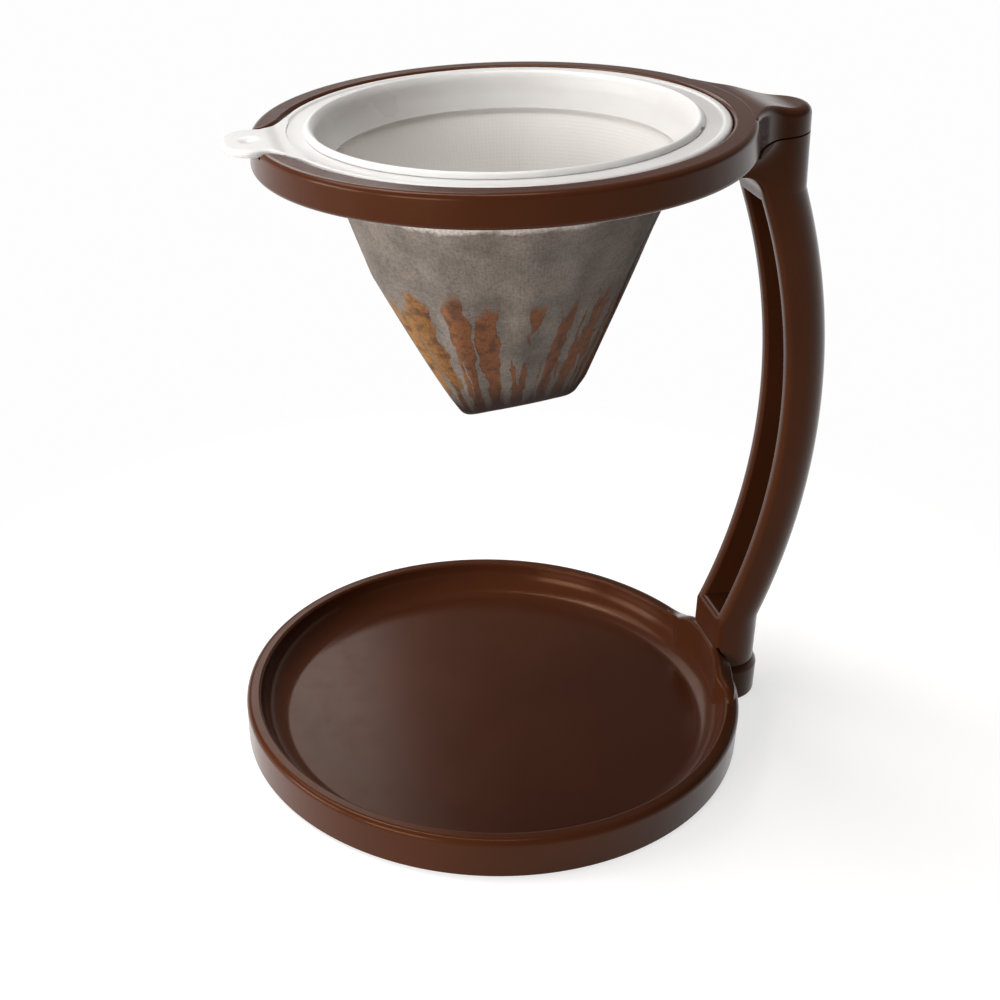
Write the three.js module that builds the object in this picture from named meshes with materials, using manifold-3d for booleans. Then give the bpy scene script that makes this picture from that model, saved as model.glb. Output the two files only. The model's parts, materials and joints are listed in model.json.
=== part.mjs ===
// One-cup drip coffee stand: a round tray, a bowed channel arm and a ring that carries a cloth filter
// in a white holder. Millimetres, +Z up, the arm towards +X and the holder's tab towards -X.
import * as THREE from 'three';
import { mergeVertices } from 'three/addons/utils/BufferGeometryUtils.js';
import Module from 'manifold-3d';

const wasm = await Module();
wasm.setup();

// Fits
const seatGap = 0.3;            // running gap between a piece and what carries it
const padGap = 0.1;             // a glued pad lies this close under its pocket
const roundSegments = 64;       // facets of a full turn
const smallSegments = 24;       // facets of pads, bosses and bores
const overcut = 1;              // cutters run past the faces that they open
const sink = 0.1;               // a joined form starts this far inside what carries it

// Tray
const baseRadius = 65.2;        // outer edge at the top of the rim
const baseTaper = 0.2;          // the rim's wall leans in by this much at its foot
const rimHeight = 11.1;
const rimBand = 3.8;            // flat top of the rim, from its outer edge to the recess
const rimEdge = 0.5;            // small round on the rim's two edges
const recessFillet = 7.4;       // hollow corner between the recess floor and the rim
const floorHeight = 2.8;        // top of the recess floor
const trayWall = 2.1;
const trayClearance = 0.5;      // height of the rim's foot over the table, stood off by the pads
const ribCount = 16;
const ribThickness = 1.6;
const ribInset = 1;             // a rib starts this far outside the flat of the floor
const ribLift = 0.5;            // its foot stands this far inside the tray's underside

// Pads under the rim
const padCount = 4;
const padRadius = 3.9;
const padRecess = 1.3;          // depth of the pocket that holds a pad
const padInset = 7.2;           // from the rim's outer edge to the middle of a pad
const padBossWall = 1.1;
const padEdge = 0.3;

// Socket for the arm's foot, and the shoulder that rises to it
const socketHalfWidth = 9.2;
const socketReach = 9.5;        // how far the socket stands out of the rim's outer edge
const socketHeight = 11.6;
const socketChamferHeight = 1.9;
const socketChamferDepth = 0.9;
const socketFootRound = 1.2;
const socketFloor = 4.6;        // top of the floor that the tenon stands over
const shoulderHeight = 18;      // at the shoulder's crest
const shoulderDip = 0.7;        // its inner edge is this much lower than the crest
const shoulderInset = 6.3;      // from the rim's outer edge to the shoulder's inner edge
const shoulderCrest = 2;        // from that inner edge out to the crest
const shoulderFall = 3.1;       // from the crest out to the foot of its steep back
const shoulderSpread = 12;      // width of the slope on each side
const shoulderFillet = 5;       // hollow round where a slope meets the rim

// Arm
const armHalfWidth = 8.65;
const armDepth = 14;            // front to back at the foot
const armFrontInset = 5.7;      // from the rim's outer edge in to the arm's front
const armFootHeight = 25;       // top of the straight foot, where the bow starts
const armFrontBow = 11.8;       // how far the front bows outwards between foot and knee
const armBackBow = 10.95;
const armCornerRadius = 2;
const armLevels = 14;           // sections along the bow
const channelHalfWidth = 5.1;
const channelWall = 3.4;        // thickness left behind the channel
const channelCorner = 3.5;
const channelBottom = 27;
const channelTopDrop = 20.6;    // from the ring's top face down to the top of the channel
const tenonInset = 2.4;         // the foot's tenon is this much inside the foot all round
const tenonCorner = 1.5;

// Screws that hold the foot in the socket
const screwSpread = 4.2;        // each screw's distance from the middle plane
const screwRadius = 1.4;
const screwHeadRadius = 2.7;
const screwHeadHeight = 1.7;
const screwLength = 12;
const screwRecess = 0.3;        // the head sits this far inside its counterbore
const screwBearingGap = 0.2;    // from the head up to the counterbore's roof
const screwSlot = 0.7;          // width of the cross slot
const screwSlotDepth = 0.8;

// Ring, in its own frame: origin at the middle of its top face
const ringRadius = 55.8;        // outer wall at its top
const ringDraft = 0.5;          // the outer wall spreads by this much down to its foot
const ringHeight = 7.1;
const ringBand = 4.8;           // flat top of the ring
const ringTop = 161.14;         // height of the middle of the top face over the table
const ringOffset = -1.2;        // the ring's middle lies this far from the tray's axis
const ringLean = 3.06;          // degrees: the ring rises towards the arm
const ringWall = 2.6;
const ringEdge = 0.6;
const ringFootRound = 1;
const seatStep = 0.6;           // the seat's bore is this much inside the flat top
const shelfWidth = 3.9;
const shelfThickness = 2.1;

// Bracket on the ring, and the head of the arm under it
const bracketReach = 17.1;      // beyond the ring's outer wall
const bracketHalfWidth = 8.9;
const bracketDepth = 8.4;       // from the ring's top face down to the joint with the arm
const bracketDrop = 2.1;        // fall of its top towards the end
const bracketLevel = 0.4;       // its top stays level this far out of the ring
const bracketFall = 10.6;       // and has come down this much further out
const bracketRound = 2.2;
const flareWidth = 12.6;        // extra half width where the bracket leaves the ring
const flarePower = 1.9;
const kneeDepth = 21.9;         // from the ring's top face down to where the head starts
const kneeRadius = 6.95;        // hollow under the head
const kneeSetback = 2;          // the hollow's middle lies this far outside the head's front
const kneeLower = 1.6;          // and this far below the knee
const kneeFront = 6.7;          // the arm's front at the knee, outside the hollow's middle
const headTenonHeight = 4;
const headTenonHalfWidth = 5;

// Holder flange
const flangeThickness = 2.3;
const flangeDrop = 0.2;         // its top lies this far under the ring's top face
const beadWidth = 2.1;
const beadHeight = 0.4;
const collarWall = 2.6;
const collarDepth = 8.6;
const collarTaper = 4;          // the collar and what it clamps narrow by this much down to its foot
const tabReach = 12.2;          // beyond the flange's edge
const tabHalfWidth = 9.1;
const tabNeckHalfWidth = 8.5;   // where it crosses the ring
const tabThickness = 1.5;
const tabRise = 0.3;            // the tab stands this far over the ring's top face
const notchClearance = 1;
const notchLip = 0.8;           // round where the notch meets the ring's top
const tabRoot = 4.5;            // the tab's root is blended into the flange this far in from its edge
const dimpleInset = 5.9;        // the dimple's middle, from the flange's edge

// Retaining ring and cloth
const clothWall = 0.6;
const clothHem = 1.5;           // height of the sewn bottom edge
const collarInsideWall = 1.1;
const lipWidth = 0.7;           // how far the lip reaches over the flange
const lipHeight = 1.3;
const liningDepth = 7.6;
const catchWidth = 2.6;         // notch in the lip for a fingernail
const catchDepth = 0.6;
const catchAzimuth = -31;
const clothTop = 1.2;           // from the ring's top face down to the cloth's upper edge
const clothDepth = 70.3;        // from the ring's top face down to the bottom edge
const clothEdgeHalfLength = 15.3;
const clothEdgeHalfWidth = 1.3;
const clothSpread = 1.1;        // over 1 the cloth stays long for further down
const clothEdgeOffset = 2.1;    // the bottom edge lies this much towards the arm
const clothEdgeTurn = 8.5;      // degrees that the bottom edge is turned about the axis
const clothLevels = 6;
const clothPoints = 48;

// Sizes that follow
const lean = THREE.MathUtils.degToRad(ringLean);
const recessRadius = baseRadius - rimBand;
const floorRadius = recessRadius - recessFillet;
const filletHeight = floorHeight + recessFillet;
const trayUnderside = floorHeight - trayWall;
const rimInside = baseRadius - baseTaper - trayWall;
const armFront = baseRadius - armFrontInset;
const armBack = armFront + armDepth;
const socketCentre = baseRadius + socketReach - socketHalfWidth;
const footBottom = socketHeight + seatGap;
const screwX = (armFront + armBack) / 2;
const seatRadius = ringRadius - ringBand - seatStep;
const flangeRadius = seatRadius - seatGap;
const flangeBottom = -flangeDrop - flangeThickness;
const shelfTop = flangeBottom - seatGap;
const shelfRadius = seatRadius - shelfWidth;
const collarOuter = shelfRadius - seatGap;
const collarInner = collarOuter - collarWall;
const clothRadius = collarInner - seatGap;
const liningOuter = clothRadius - clothWall - seatGap;
const liningInner = liningOuter - collarInsideWall;
const clothClampDepth = liningDepth + seatGap;      // the cloth hangs straight as far as it is clamped
const bracketEnd = ringRadius + bracketReach;
const headFront = seatRadius + seatGap;
const headTop = -bracketDepth - seatGap;
const centreShift = -(armReach() - baseRadius) / 2;

// A closed geometry as a solid, with shared corners merged and its faces turned outwards
function toSolid(geometry) {
  const bare = new THREE.BufferGeometry();
  bare.setAttribute('position', geometry.attributes.position);
  bare.setIndex(geometry.index);
  const merged = mergeVertices(bare, 1e-4);
  const { array: places } = merged.attributes.position;
  const corners = merged.index.array;
  const faces = [];
  const [a, b, c] = [new THREE.Vector3(), new THREE.Vector3(), new THREE.Vector3()];
  let volume = 0;
  for (let i = 0; i < corners.length; i += 3) {
    const [u, v, w] = [corners[i], corners[i + 1], corners[i + 2]];
    if (u === v || v === w || w === u) continue;
    faces.push(u, v, w);
    volume += a.fromArray(places, 3 * u).dot(b.fromArray(places, 3 * v).cross(c.fromArray(places, 3 * w)));
  }
  if (volume < 0) faces.reverse();
  const triVerts = new Uint32Array(faces);
  return new wasm.Manifold(new wasm.Mesh({ numProp: 3, vertProperties: new Float32Array(places), triVerts }));
}

function join(first, ...others) {
  return others.reduce((whole, other) => whole.add(other), first);
}

function cut(first, ...others) {
  return others.reduce((whole, other) => whole.subtract(other), first);
}

function part(name, solid, material) {
  const mesh = solid.getMesh();
  const geometry = new THREE.BufferGeometry();
  geometry.setAttribute('position', new THREE.BufferAttribute(mesh.vertProperties, 3));
  geometry.setIndex(new THREE.BufferAttribute(mesh.triVerts, 1));
  geometry.computeVertexNormals();
  const piece = new THREE.Mesh(geometry, material);
  piece.name = name;
  return piece;
}

// Points of an arc about (x, y), angles in degrees
function arc(x, y, radius, from, to, steps) {
  const points = [];
  for (let i = 0; i <= steps; i += 1) {
    const angle = THREE.MathUtils.degToRad(from + (to - from) * i / steps);
    points.push([x + radius * Math.cos(angle), y + radius * Math.sin(angle)]);
  }
  return points;
}

// A profile of [radius, height] turned about Z
function revolve(profile, segments = roundSegments) {
  const geometry = new THREE.LatheGeometry(profile.map(([r, z]) => new THREE.Vector2(r, z)), segments);
  return toSolid(geometry.rotateX(Math.PI / 2));
}

function revolveRing(profile, segments = roundSegments) {
  return revolve([...profile, profile[0]], segments);
}

// A drum about Z at (x, y), between two heights
function drum(radius, bottom, top, x = 0, y = 0, segments = smallSegments) {
  const geometry = new THREE.CylinderGeometry(radius, radius, top - bottom, segments);
  return toSolid(geometry.rotateX(Math.PI / 2).translate(x, y, (top + bottom) / 2));
}

function block(x0, x1, y0, y1, z0, z1) {
  const geometry = new THREE.BoxGeometry(x1 - x0, y1 - y0, z1 - z0);
  return toSolid(geometry.translate((x0 + x1) / 2, (y0 + y1) / 2, (z0 + z1) / 2));
}

// An outline in the YZ plane pushed along X
function pushAlongX(outline, x0, x1) {
  const shape = new THREE.Shape(outline.map(([y, z]) => new THREE.Vector2(y, z)));
  const geometry = new THREE.ExtrudeGeometry(shape, { depth: x1 - x0, bevelEnabled: false });
  return toSolid(geometry.rotateZ(Math.PI / 2).rotateY(Math.PI / 2).translate(x0, 0, 0));
}

// Skin over a row of sections. Each section is mirrored about the XZ plane: its first and last points
// are a pair, and so on inwards, so that the end caps are rungs between pairs.
function loft(sections) {
  const count = sections[0].length;
  const faces = [];
  for (let level = 0; level < sections.length - 1; level += 1) {
    for (let i = 0; i < count; i += 1) {
      const a = level * count + i;
      const b = level * count + (i + 1) % count;
      faces.push(a, b, b + count, a, b + count, a + count);
    }
  }
  const last = (sections.length - 1) * count;
  for (let i = 0; i < count / 2 - 1; i += 1) {
    const [a, b, c, d] = [i, i + 1, count - 2 - i, count - 1 - i];
    faces.push(a, c, b, a, d, c);
    faces.push(last + a, last + b, last + c, last + a, last + c, last + d);
  }
  const places = new THREE.Float32BufferAttribute(sections.flat().flatMap((p) => [...p]), 3);
  const geometry = new THREE.BufferGeometry();
  geometry.setAttribute('position', places);
  geometry.setIndex(faces);
  return toSolid(geometry);
}

// Half of a mirrored outline, at negative y, completed to the whole
function mirrored(half) {
  return [...half, ...half.map(([x, y]) => [x, -y]).reverse()];
}

// Flat front, sides that may flare towards it, and a half-round back
function dOutline(front, back, halfWidth, flare = 0, corner = armCornerRadius) {
  const centre = back - halfWidth;
  const sideSteps = 5;
  const half = [];
  half.push([front, 0]);
  half.push(...arc(front + corner, -(halfWidth + flare) + corner, corner, 180, 270, 3));
  for (let i = 1; i < sideSteps; i += 1) {
    const x = front + corner + (centre - front - corner) * i / sideSteps;
    half.push([x, -halfWidth - flare * ((sideSteps - i) / sideSteps) ** flarePower]);
  }
  half.push(...arc(centre, 0, halfWidth, 270, 353, 6));
  return mirrored(half).slice(1, -1);
}

// Rounded box outline, mirrored about the X axis
function boxOutline(x0, x1, halfWidth, corner) {
  return mirrored([
    ...arc(x0 + corner, -halfWidth + corner, corner, 180, 270, 3),
    ...arc(x1 - corner, -halfWidth + corner, corner, 270, 360, 3),
  ]);
}

function at(outline, height) {
  return outline.map(([x, y]) => new THREE.Vector3(x, y, height));
}

// A place in the ring's leaned frame, given in the stand's frame
function fromRing({ x, y, z }) {
  const [c, s] = [Math.cos(lean), Math.sin(lean)];
  return new THREE.Vector3(ringOffset + x * c - z * s, y, ringTop + x * s + z * c);
}

// Where a bowed line between two points stands at a height; the line is an arc with the given rise
function bowed(low, high, bow, height) {
  const chord = low.distanceTo(high);
  const radius = (chord * chord / 4 + bow * bow) / (2 * bow);
  const along = high.clone().sub(low).normalize();
  const inward = new THREE.Vector3(-along.z, 0, along.x);
  const centre = low.clone().add(high).multiplyScalar(0.5).addScaledVector(inward, radius - bow);
  return centre.x + Math.sqrt(radius * radius - (height - centre.z) ** 2);
}

function kneePoint(x) {
  return fromRing(new THREE.Vector3(x, 0, -kneeDepth));
}

function armFrontAt(height) {
  return bowed(new THREE.Vector3(armFront, 0, armFootHeight), kneePoint(kneeFrontX()), armFrontBow, height);
}

function armBackAt(height) {
  return bowed(new THREE.Vector3(armBack, 0, armFootHeight), kneePoint(bracketEnd), armBackBow, height);
}

function kneeFrontX() {
  return headFront + kneeSetback + kneeFront;
}

function armReach() {
  let reach = 0;
  for (let height = armFootHeight; height < ringTop - kneeDepth; height += 1) {
    reach = Math.max(reach, armBackAt(height));
  }
  return reach;
}

// Section of the shoulder as [radius, height], turned about the tray's axis
function shoulderWedge(lift, insideRadius, foot) {
  const inner = baseRadius - shoulderInset;
  const crest = inner + shoulderCrest;
  return revolveRing([
    [insideRadius, foot],
    [baseRadius - sink, foot],
    [baseRadius - sink, rimHeight - sink + lift],
    [crest + shoulderFall, socketHeight + lift],
    [crest, shoulderHeight + lift],
    [inner, shoulderHeight - shoulderDip + lift],
    [insideRadius, shoulderHeight - shoulderDip + lift],
  ]);
}

// The rim swept up to the arm: a wedge with a slope on each side that ends in a hollow round
function shoulder() {
  const edge = socketHalfWidth + shoulderSpread;
  const slope = Math.atan2(shoulderHeight - rimHeight, shoulderSpread);
  const tangent = shoulderFillet * Math.tan(slope / 2);
  const steepest = -90 - THREE.MathUtils.radToDeg(slope);
  const round = arc(edge + tangent, rimHeight + shoulderFillet, shoulderFillet, steepest, -90, 4);
  const half = [[socketHalfWidth, shoulderHeight], ...round, [edge + tangent, 0]];
  const outline = [...half, ...half.map(([y, z]) => [-y, z]).reverse()];
  const wedge = shoulderWedge(0, baseRadius - shoulderInset, floorHeight + sink);
  return wedge.intersect(pushAlongX(outline, 0, baseRadius + overcut));
}

function socketBlock() {
  const outline = (inset) => dOutline(socketCentre - socketHalfWidth, socketCentre + socketHalfWidth - inset,
    socketHalfWidth - inset);
  const footLevels = arc(socketFootRound, trayClearance + socketFootRound, socketFootRound, 270, 180, 4);
  const levels = footLevels.map(([inset, z]) => at(outline(inset), z));
  levels.push(at(outline(0), socketHeight - socketChamferHeight));
  levels.push(at(outline(socketChamferDepth), socketHeight));
  return loft(levels);
}

function trayShell() {
  const fillet = arc(floorRadius, filletHeight, recessFillet, 0, -90, 5);
  const hollowRadius = recessFillet + trayWall;
  const hollowTop = -THREE.MathUtils.radToDeg(Math.acos((rimInside - floorRadius) / hollowRadius));
  const hollow = arc(floorRadius, filletHeight, hollowRadius, -90, hollowTop, 3);
  const foot = baseRadius - baseTaper;
  return revolve([
    [0, trayUnderside],
    ...hollow,
    [rimInside, trayClearance],
    [foot - rimEdge, trayClearance],
    [foot, trayClearance + rimEdge],
    ...arc(baseRadius - rimEdge, rimHeight - rimEdge, rimEdge, 0, 90, 2),
    ...fillet,
    [0, floorHeight],
  ]);
}

// Radial ribs that brace the hollow under the rim
function rimRibs() {
  const inner = floorRadius + ribInset;
  const ring = revolveRing([
    [inner, trayUnderside + ribLift],
    [rimInside + ribLift, trayUnderside + ribLift],
    [rimInside + ribLift, floorHeight + recessFillet / 2],
    [rimInside - ribLift, floorHeight + recessFillet / 2],
    [inner, floorHeight - ribLift],
  ]);
  const blades = [];
  for (let i = 0; i < ribCount; i += 1) {
    const blade = block(inner - overcut, baseRadius, -ribThickness / 2, ribThickness / 2, 0, rimHeight);
    blades.push(blade.rotate([0, 0, (i + 0.5) * 360 / ribCount]));
  }
  return ring.intersect(join(...blades));
}

function padPlaces() {
  const places = [];
  for (let i = 0; i < padCount; i += 1) {
    const angle = 2 * Math.PI * (i + 0.5) / padCount;
    const radius = baseRadius - padInset;
    places.push([radius * Math.cos(angle), radius * Math.sin(angle)]);
  }
  return places;
}

function baseTray(material) {
  const pocketRadius = padRadius + seatGap;
  const bosses = padPlaces().map(([x, y]) => (
    drum(pocketRadius + padBossWall, trayClearance, floorHeight - sink, x, y)
  ));
  const pockets = padPlaces().map(([x, y]) => drum(pocketRadius, -overcut, trayClearance + padRecess, x, y));
  const tenonHole = loft([socketFloor, shoulderHeight + overcut].map((z) => at(tenonOutline(seatGap), z)));
  const boreTop = trayClearance + screwRecess + screwHeadHeight + screwBearingGap;
  const screwHoles = [-screwSpread, screwSpread].map((y) => join(
    drum(screwHeadRadius + seatGap, -overcut, boreTop, screwX, y),
    drum(screwRadius + seatGap, 0, socketFloor + overcut, screwX, y),
  ));
  const body = join(trayShell(), rimRibs(), shoulder(), socketBlock(), ...bosses);
  return part('base_tray', cut(body, tenonHole, ...pockets, ...screwHoles), material);
}

function tenonOutline(clearance = 0) {
  const inset = tenonInset - clearance;
  return boxOutline(armFront + inset, armBack - inset, armHalfWidth - inset, tenonCorner);
}

// Sections of the head, in the ring's frame: first the hollow knee, then the block that flares out
// to the ring and the bracket
function headSections() {
  const hollowX = headFront + kneeSetback;
  const hollowZ = -kneeDepth - kneeLower;
  const underside = hollowZ + kneeRadius;
  const sections = arc(hollowX, hollowZ, kneeRadius, 15, 88, 6).map(([front, depth]) => (
    { front, depth, flare: 0 }
  ));
  const steps = 5;
  for (let i = 0; i <= steps; i += 1) {
    const depth = underside + seatGap + (headTop - underside - seatGap) * i / steps;
    sections.push({ front: headFront, depth, flare: flareWidth * (i / steps) ** 2.2 });
  }
  return sections.map(({ front, depth, flare }) => (
    at(dOutline(front, bracketEnd, armHalfWidth + (bracketHalfWidth - armHalfWidth) * flare / flareWidth,
      flare), depth).map(fromRing)
  ));
}

function armBody() {
  const foot = [footBottom, armFootHeight].map((z) => at(dOutline(armFront, armBack, armHalfWidth), z));
  const bow = [];
  const last = Math.min(kneePoint(kneeFrontX()).z, kneePoint(bracketEnd).z) - kneeLower;
  for (let i = 1; i <= armLevels; i += 1) {
    const z = armFootHeight + (last - armFootHeight) * i / armLevels;
    bow.push(at(dOutline(armFrontAt(z), armBackAt(z), armHalfWidth), z));
  }
  return loft([...foot, ...bow, ...headSections()]);
}

// The channel that opens the arm's front
function armChannel() {
  const top = ringTop - channelTopDrop;
  const levels = [];
  for (let i = 0; i <= armLevels; i += 1) {
    const z = channelBottom + (top - channelBottom) * i / armLevels;
    const back = arc(armBackAt(z) - channelWall - channelCorner, -channelHalfWidth + channelCorner,
      channelCorner, 270, 360, 4);
    levels.push(at(mirrored([[armFrontAt(z) - overcut, -channelHalfWidth], ...back]), z));
  }
  return loft(levels);
}

function supportArm(material) {
  const tenon = loft([socketFloor + seatGap, shoulderHeight + overcut].map((z) => at(tenonOutline(), z)));
  const pilots = [-screwSpread, screwSpread].map((y) => (
    drum(screwRadius + seatGap, 0, screwTop() + overcut, screwX, y)
  ));
  const shoulderRoom = shoulderWedge(seatGap, floorRadius, 0);
  const headTenon = loft([headTop - overcut, headTop + headTenonHeight].map((z) => (
    at(headTenonOutline(), z).map(fromRing)
  )));
  const body = join(cut(armBody(), shoulderRoom), tenon, headTenon);
  return part('support_arm', cut(body, armChannel(), ...pilots), material);
}

function headTenonOutline(clearance = 0) {
  const end = bracketEnd - bracketRound * 2 - tenonCorner;
  return boxOutline(ringRadius - clearance, end + clearance, headTenonHalfWidth + clearance, tenonCorner);
}

function screwTop() {
  return trayClearance + screwRecess + screwHeadHeight + screwLength;
}

// Pan-head self-tapping screw with a cross slot, driven up through the socket's floor
function armScrew(name, y, material) {
  const bottom = trayClearance + screwRecess;
  const shank = bottom + screwHeadHeight;
  const body = revolve([
    [0, bottom],
    [screwHeadRadius - 0.5, bottom],
    [screwHeadRadius, bottom + 0.5],
    [screwHeadRadius, shank],
    [screwRadius, shank],
    [screwRadius, screwTop() - screwRadius * 2],
    [0, screwTop()],
  ], 20);
  const [slot, half] = [screwSlot / 2, screwHeadRadius * 0.6];
  const cross = join(
    block(-half, half, -slot, slot, 0, bottom + screwSlotDepth),
    block(-slot, slot, -half, half, 0, bottom + screwSlotDepth),
  );
  return part(name, cut(body, cross).translate([screwX, y, 0]), material);
}

function footPad(name, [x, y], material) {
  const top = trayClearance + padRecess - padGap;
  const body = revolve([
    [0, 0],
    [padRadius - padEdge, 0],
    [padRadius, padEdge],
    [padRadius, top],
    [0, top],
  ], smallSegments);
  return part(name, body.translate([x, y, 0]), material);
}

function ringShell() {
  const foot = ringRadius + ringDraft;
  const inner = ringRadius - ringWall;
  return revolveRing([
    [foot - ringWall, -ringHeight],
    ...arc(foot - ringFootRound, -ringHeight + ringFootRound, ringFootRound, 270, 360, 2),
    ...arc(ringRadius - ringEdge, -ringEdge, ringEdge, 0, 90, 3),
    [seatRadius + seatStep, 0],
    [seatRadius, -seatStep],
    [seatRadius, shelfTop],
    [shelfRadius, shelfTop],
    [shelfRadius, shelfTop - shelfThickness],
    [inner, shelfTop - shelfThickness],
  ]);
}

// Fall of the bracket's top, easing in from the ring's edge and rounding over at the end
function bracketTopAt(x) {
  const start = ringRadius + bracketLevel;
  const t = THREE.MathUtils.clamp((x - start) / bracketFall, 0, 1);
  return -bracketDrop * t * t * (3 - 2 * t);
}

// Bracket outline at negative and positive y, flaring into the ring's wall
function bracketOutline(inset) {
  return dOutline(headFront, bracketEnd - inset, bracketHalfWidth - inset, flareWidth, 0.4);
}

function bracket() {
  const sections = [at(bracketOutline(0), -bracketDepth)];
  for (const [inset, height] of arc(bracketRound, 0, bracketRound, 180, 90, 5)) {
    sections.push(bracketOutline(inset).map(([x, y]) => (
      new THREE.Vector3(x, y, bracketTopAt(x) - bracketRound + height)
    )));
  }
  return loft(sections);
}

// Slot in the ring's edge that the holder's tab lies in
function tabNotch() {
  const half = tabNeckHalfWidth + notchClearance;
  const floor = tabRise - tabThickness - seatGap;
  const lip = half + notchLip;
  const outline = [
    [-half, floor],
    [half, floor],
    ...arc(lip, -notchLip, notchLip, 180, 90, 3),
    [lip, overcut],
    [-lip, overcut],
    ...arc(-lip, -notchLip, notchLip, 90, 0, 3),
  ];
  return pushAlongX(outline, -ringRadius - ringDraft - overcut, -shelfRadius);
}

function supportRing(material) {
  const shelfFoot = shelfTop - shelfThickness;
  const bore = drum(seatRadius, shelfTop, overcut, 0, 0, roundSegments);
  const under = drum(ringRadius - ringWall, -bracketDepth - overcut, shelfFoot, 0, 0, roundSegments)
    .intersect(block(-ringRadius, headFront + seatGap, -ringRadius, ringRadius, -ringRadius, 0));
  const tenonHole = loft([-bracketDepth - overcut, headTop + headTenonHeight + seatGap].map((z) => (
    at(headTenonOutline(seatGap), z)
  )));
  const arch = cut(bracket(), under);
  const body = cut(join(ringShell(), arch), bore, tabNotch(), tenonHole);
  return part('support_ring', body, material);
}

// Tongue that the fingers lift the holder by, with a full round edge and a dimple
function tab() {
  const roll = tabThickness / 2 - sink;
  const rootHalfWidth = tabHalfWidth * 2.2;
  const root = flangeRadius - tabRoot;
  const neck = flangeRadius + 1.2;
  const neckEnd = neck + 2;
  const bulge = flangeRadius + 6.6;
  const tip = flangeRadius + tabReach;
  const shape = new THREE.Shape();
  shape.moveTo(-root + 8, -rootHalfWidth);
  shape.lineTo(-root, -rootHalfWidth);
  shape.bezierCurveTo(-root - 1, -tabHalfWidth * 1.4, -neck + 3, -tabNeckHalfWidth, -neck, -tabNeckHalfWidth);
  shape.bezierCurveTo(-neckEnd, -tabNeckHalfWidth, -neckEnd, -tabHalfWidth, -bulge, -tabHalfWidth);
  shape.bezierCurveTo(-tip + 1.6, -tabHalfWidth, -tip, -tabHalfWidth * 0.4, -tip, 0);
  shape.bezierCurveTo(-tip, tabHalfWidth * 0.4, -tip + 1.6, tabHalfWidth, -bulge, tabHalfWidth);
  shape.bezierCurveTo(-neckEnd, tabHalfWidth, -neckEnd, tabNeckHalfWidth, -neck, tabNeckHalfWidth);
  shape.bezierCurveTo(-neck + 3, tabNeckHalfWidth, -root - 1, tabHalfWidth * 1.4, -root, rootHalfWidth);
  shape.lineTo(-root + 8, rootHalfWidth);
  const geometry = new THREE.ExtrudeGeometry(shape, {
    depth: tabThickness - 2 * roll, curveSegments: 6,
    bevelThickness: roll, bevelSize: roll, bevelOffset: -roll, bevelSegments: 3,
  });
  const dimple = toSolid(new THREE.SphereGeometry(1, 16, 10).scale(1.6, 2.5, 0.7)
    .translate(-flangeRadius - dimpleInset, 0, tabRise));
  const plate = toSolid(geometry.translate(0, 0, tabRise - tabThickness + roll));
  return cut(plate, dimple, drum(flangeRadius - beadWidth, -9, 9, 0, 0, roundSegments));
}

// How much the clamp has narrowed at a depth under the ring's top face
function narrowing(depth) {
  return collarTaper * depth / collarDepth;
}

function filterFlange(material) {
  const top = -flangeDrop;
  const edge = 1;
  const face = top - beadHeight;
  const profile = [
    [collarInner - collarTaper, -collarDepth],
    [collarOuter - collarTaper, -collarDepth],
    [collarOuter - narrowing(-flangeBottom), flangeBottom],
    [flangeRadius - 0.4, flangeBottom],
    [flangeRadius, flangeBottom + 0.4],
    ...arc(flangeRadius - edge, top - edge, edge, 0, 90, 3),
    [flangeRadius - beadWidth + beadHeight, top],
    [flangeRadius - beadWidth, face],
    [collarInner - narrowing(-face), face],
  ];
  return part('filter_flange', join(revolveRing(profile), tab()), material);
}

// Ring that pushes into the collar and clamps the cloth's hem
function retainingRing(material) {
  const face = -flangeDrop - beadHeight + seatGap;
  const lipOuter = collarInner + lipWidth;
  const profile = [
    [liningInner - narrowing(liningDepth), -liningDepth],
    [liningOuter - narrowing(liningDepth), -liningDepth],
    [liningOuter - narrowing(-face), face],
    [lipOuter, face],
    ...arc(lipOuter - lipHeight, face, lipHeight, 30, 120, 4),
    [liningInner + 0.3, face - 1.5],
  ];
  const notch = block(lipOuter - catchDepth, lipOuter + overcut, -catchWidth / 2, catchWidth / 2,
    face - overcut, face + catchDepth).rotate([0, 0, catchAzimuth]);
  return part('retaining_ring', cut(revolveRing(profile), notch), material);
}

// Ellipse turned about Z, whose points are in pairs on either side of its length
function ovalOutline(centre, halfLength, halfWidth, turn = 0) {
  const points = [];
  for (let i = 0; i < clothPoints; i += 1) {
    const angle = Math.PI * (2 * (i + 0.5) / clothPoints - 1);
    const place = new THREE.Vector2(halfLength * Math.cos(angle), halfWidth * Math.sin(angle));
    place.rotateAround(new THREE.Vector2(), THREE.MathUtils.degToRad(turn));
    points.push([centre + place.x, place.y]);
  }
  return points;
}

// The cloth bag as a solid of its outside: round in the clamp, tapering to a straight bottom edge
function clothCone(inset, top, bottom) {
  const sections = [at(ovalOutline(0, clothRadius - inset - narrowing(-top), clothRadius - inset -
    narrowing(-top)), top)];
  const clamped = clothRadius - inset - narrowing(clothClampDepth);
  for (let i = 0; i <= clothLevels; i += 1) {
    const t = i / clothLevels;
    const halfLength = clamped + (clothEdgeHalfLength - inset - clamped) * t ** clothSpread;
    const halfWidth = clamped + (clothEdgeHalfWidth - inset / 2 - clamped) * t;
    const depth = clothClampDepth + (bottom - clothClampDepth) * t;
    sections.push(at(ovalOutline(clothEdgeOffset * t * t, halfLength, halfWidth, clothEdgeTurn * t), -depth));
  }
  return loft(sections);
}

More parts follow.
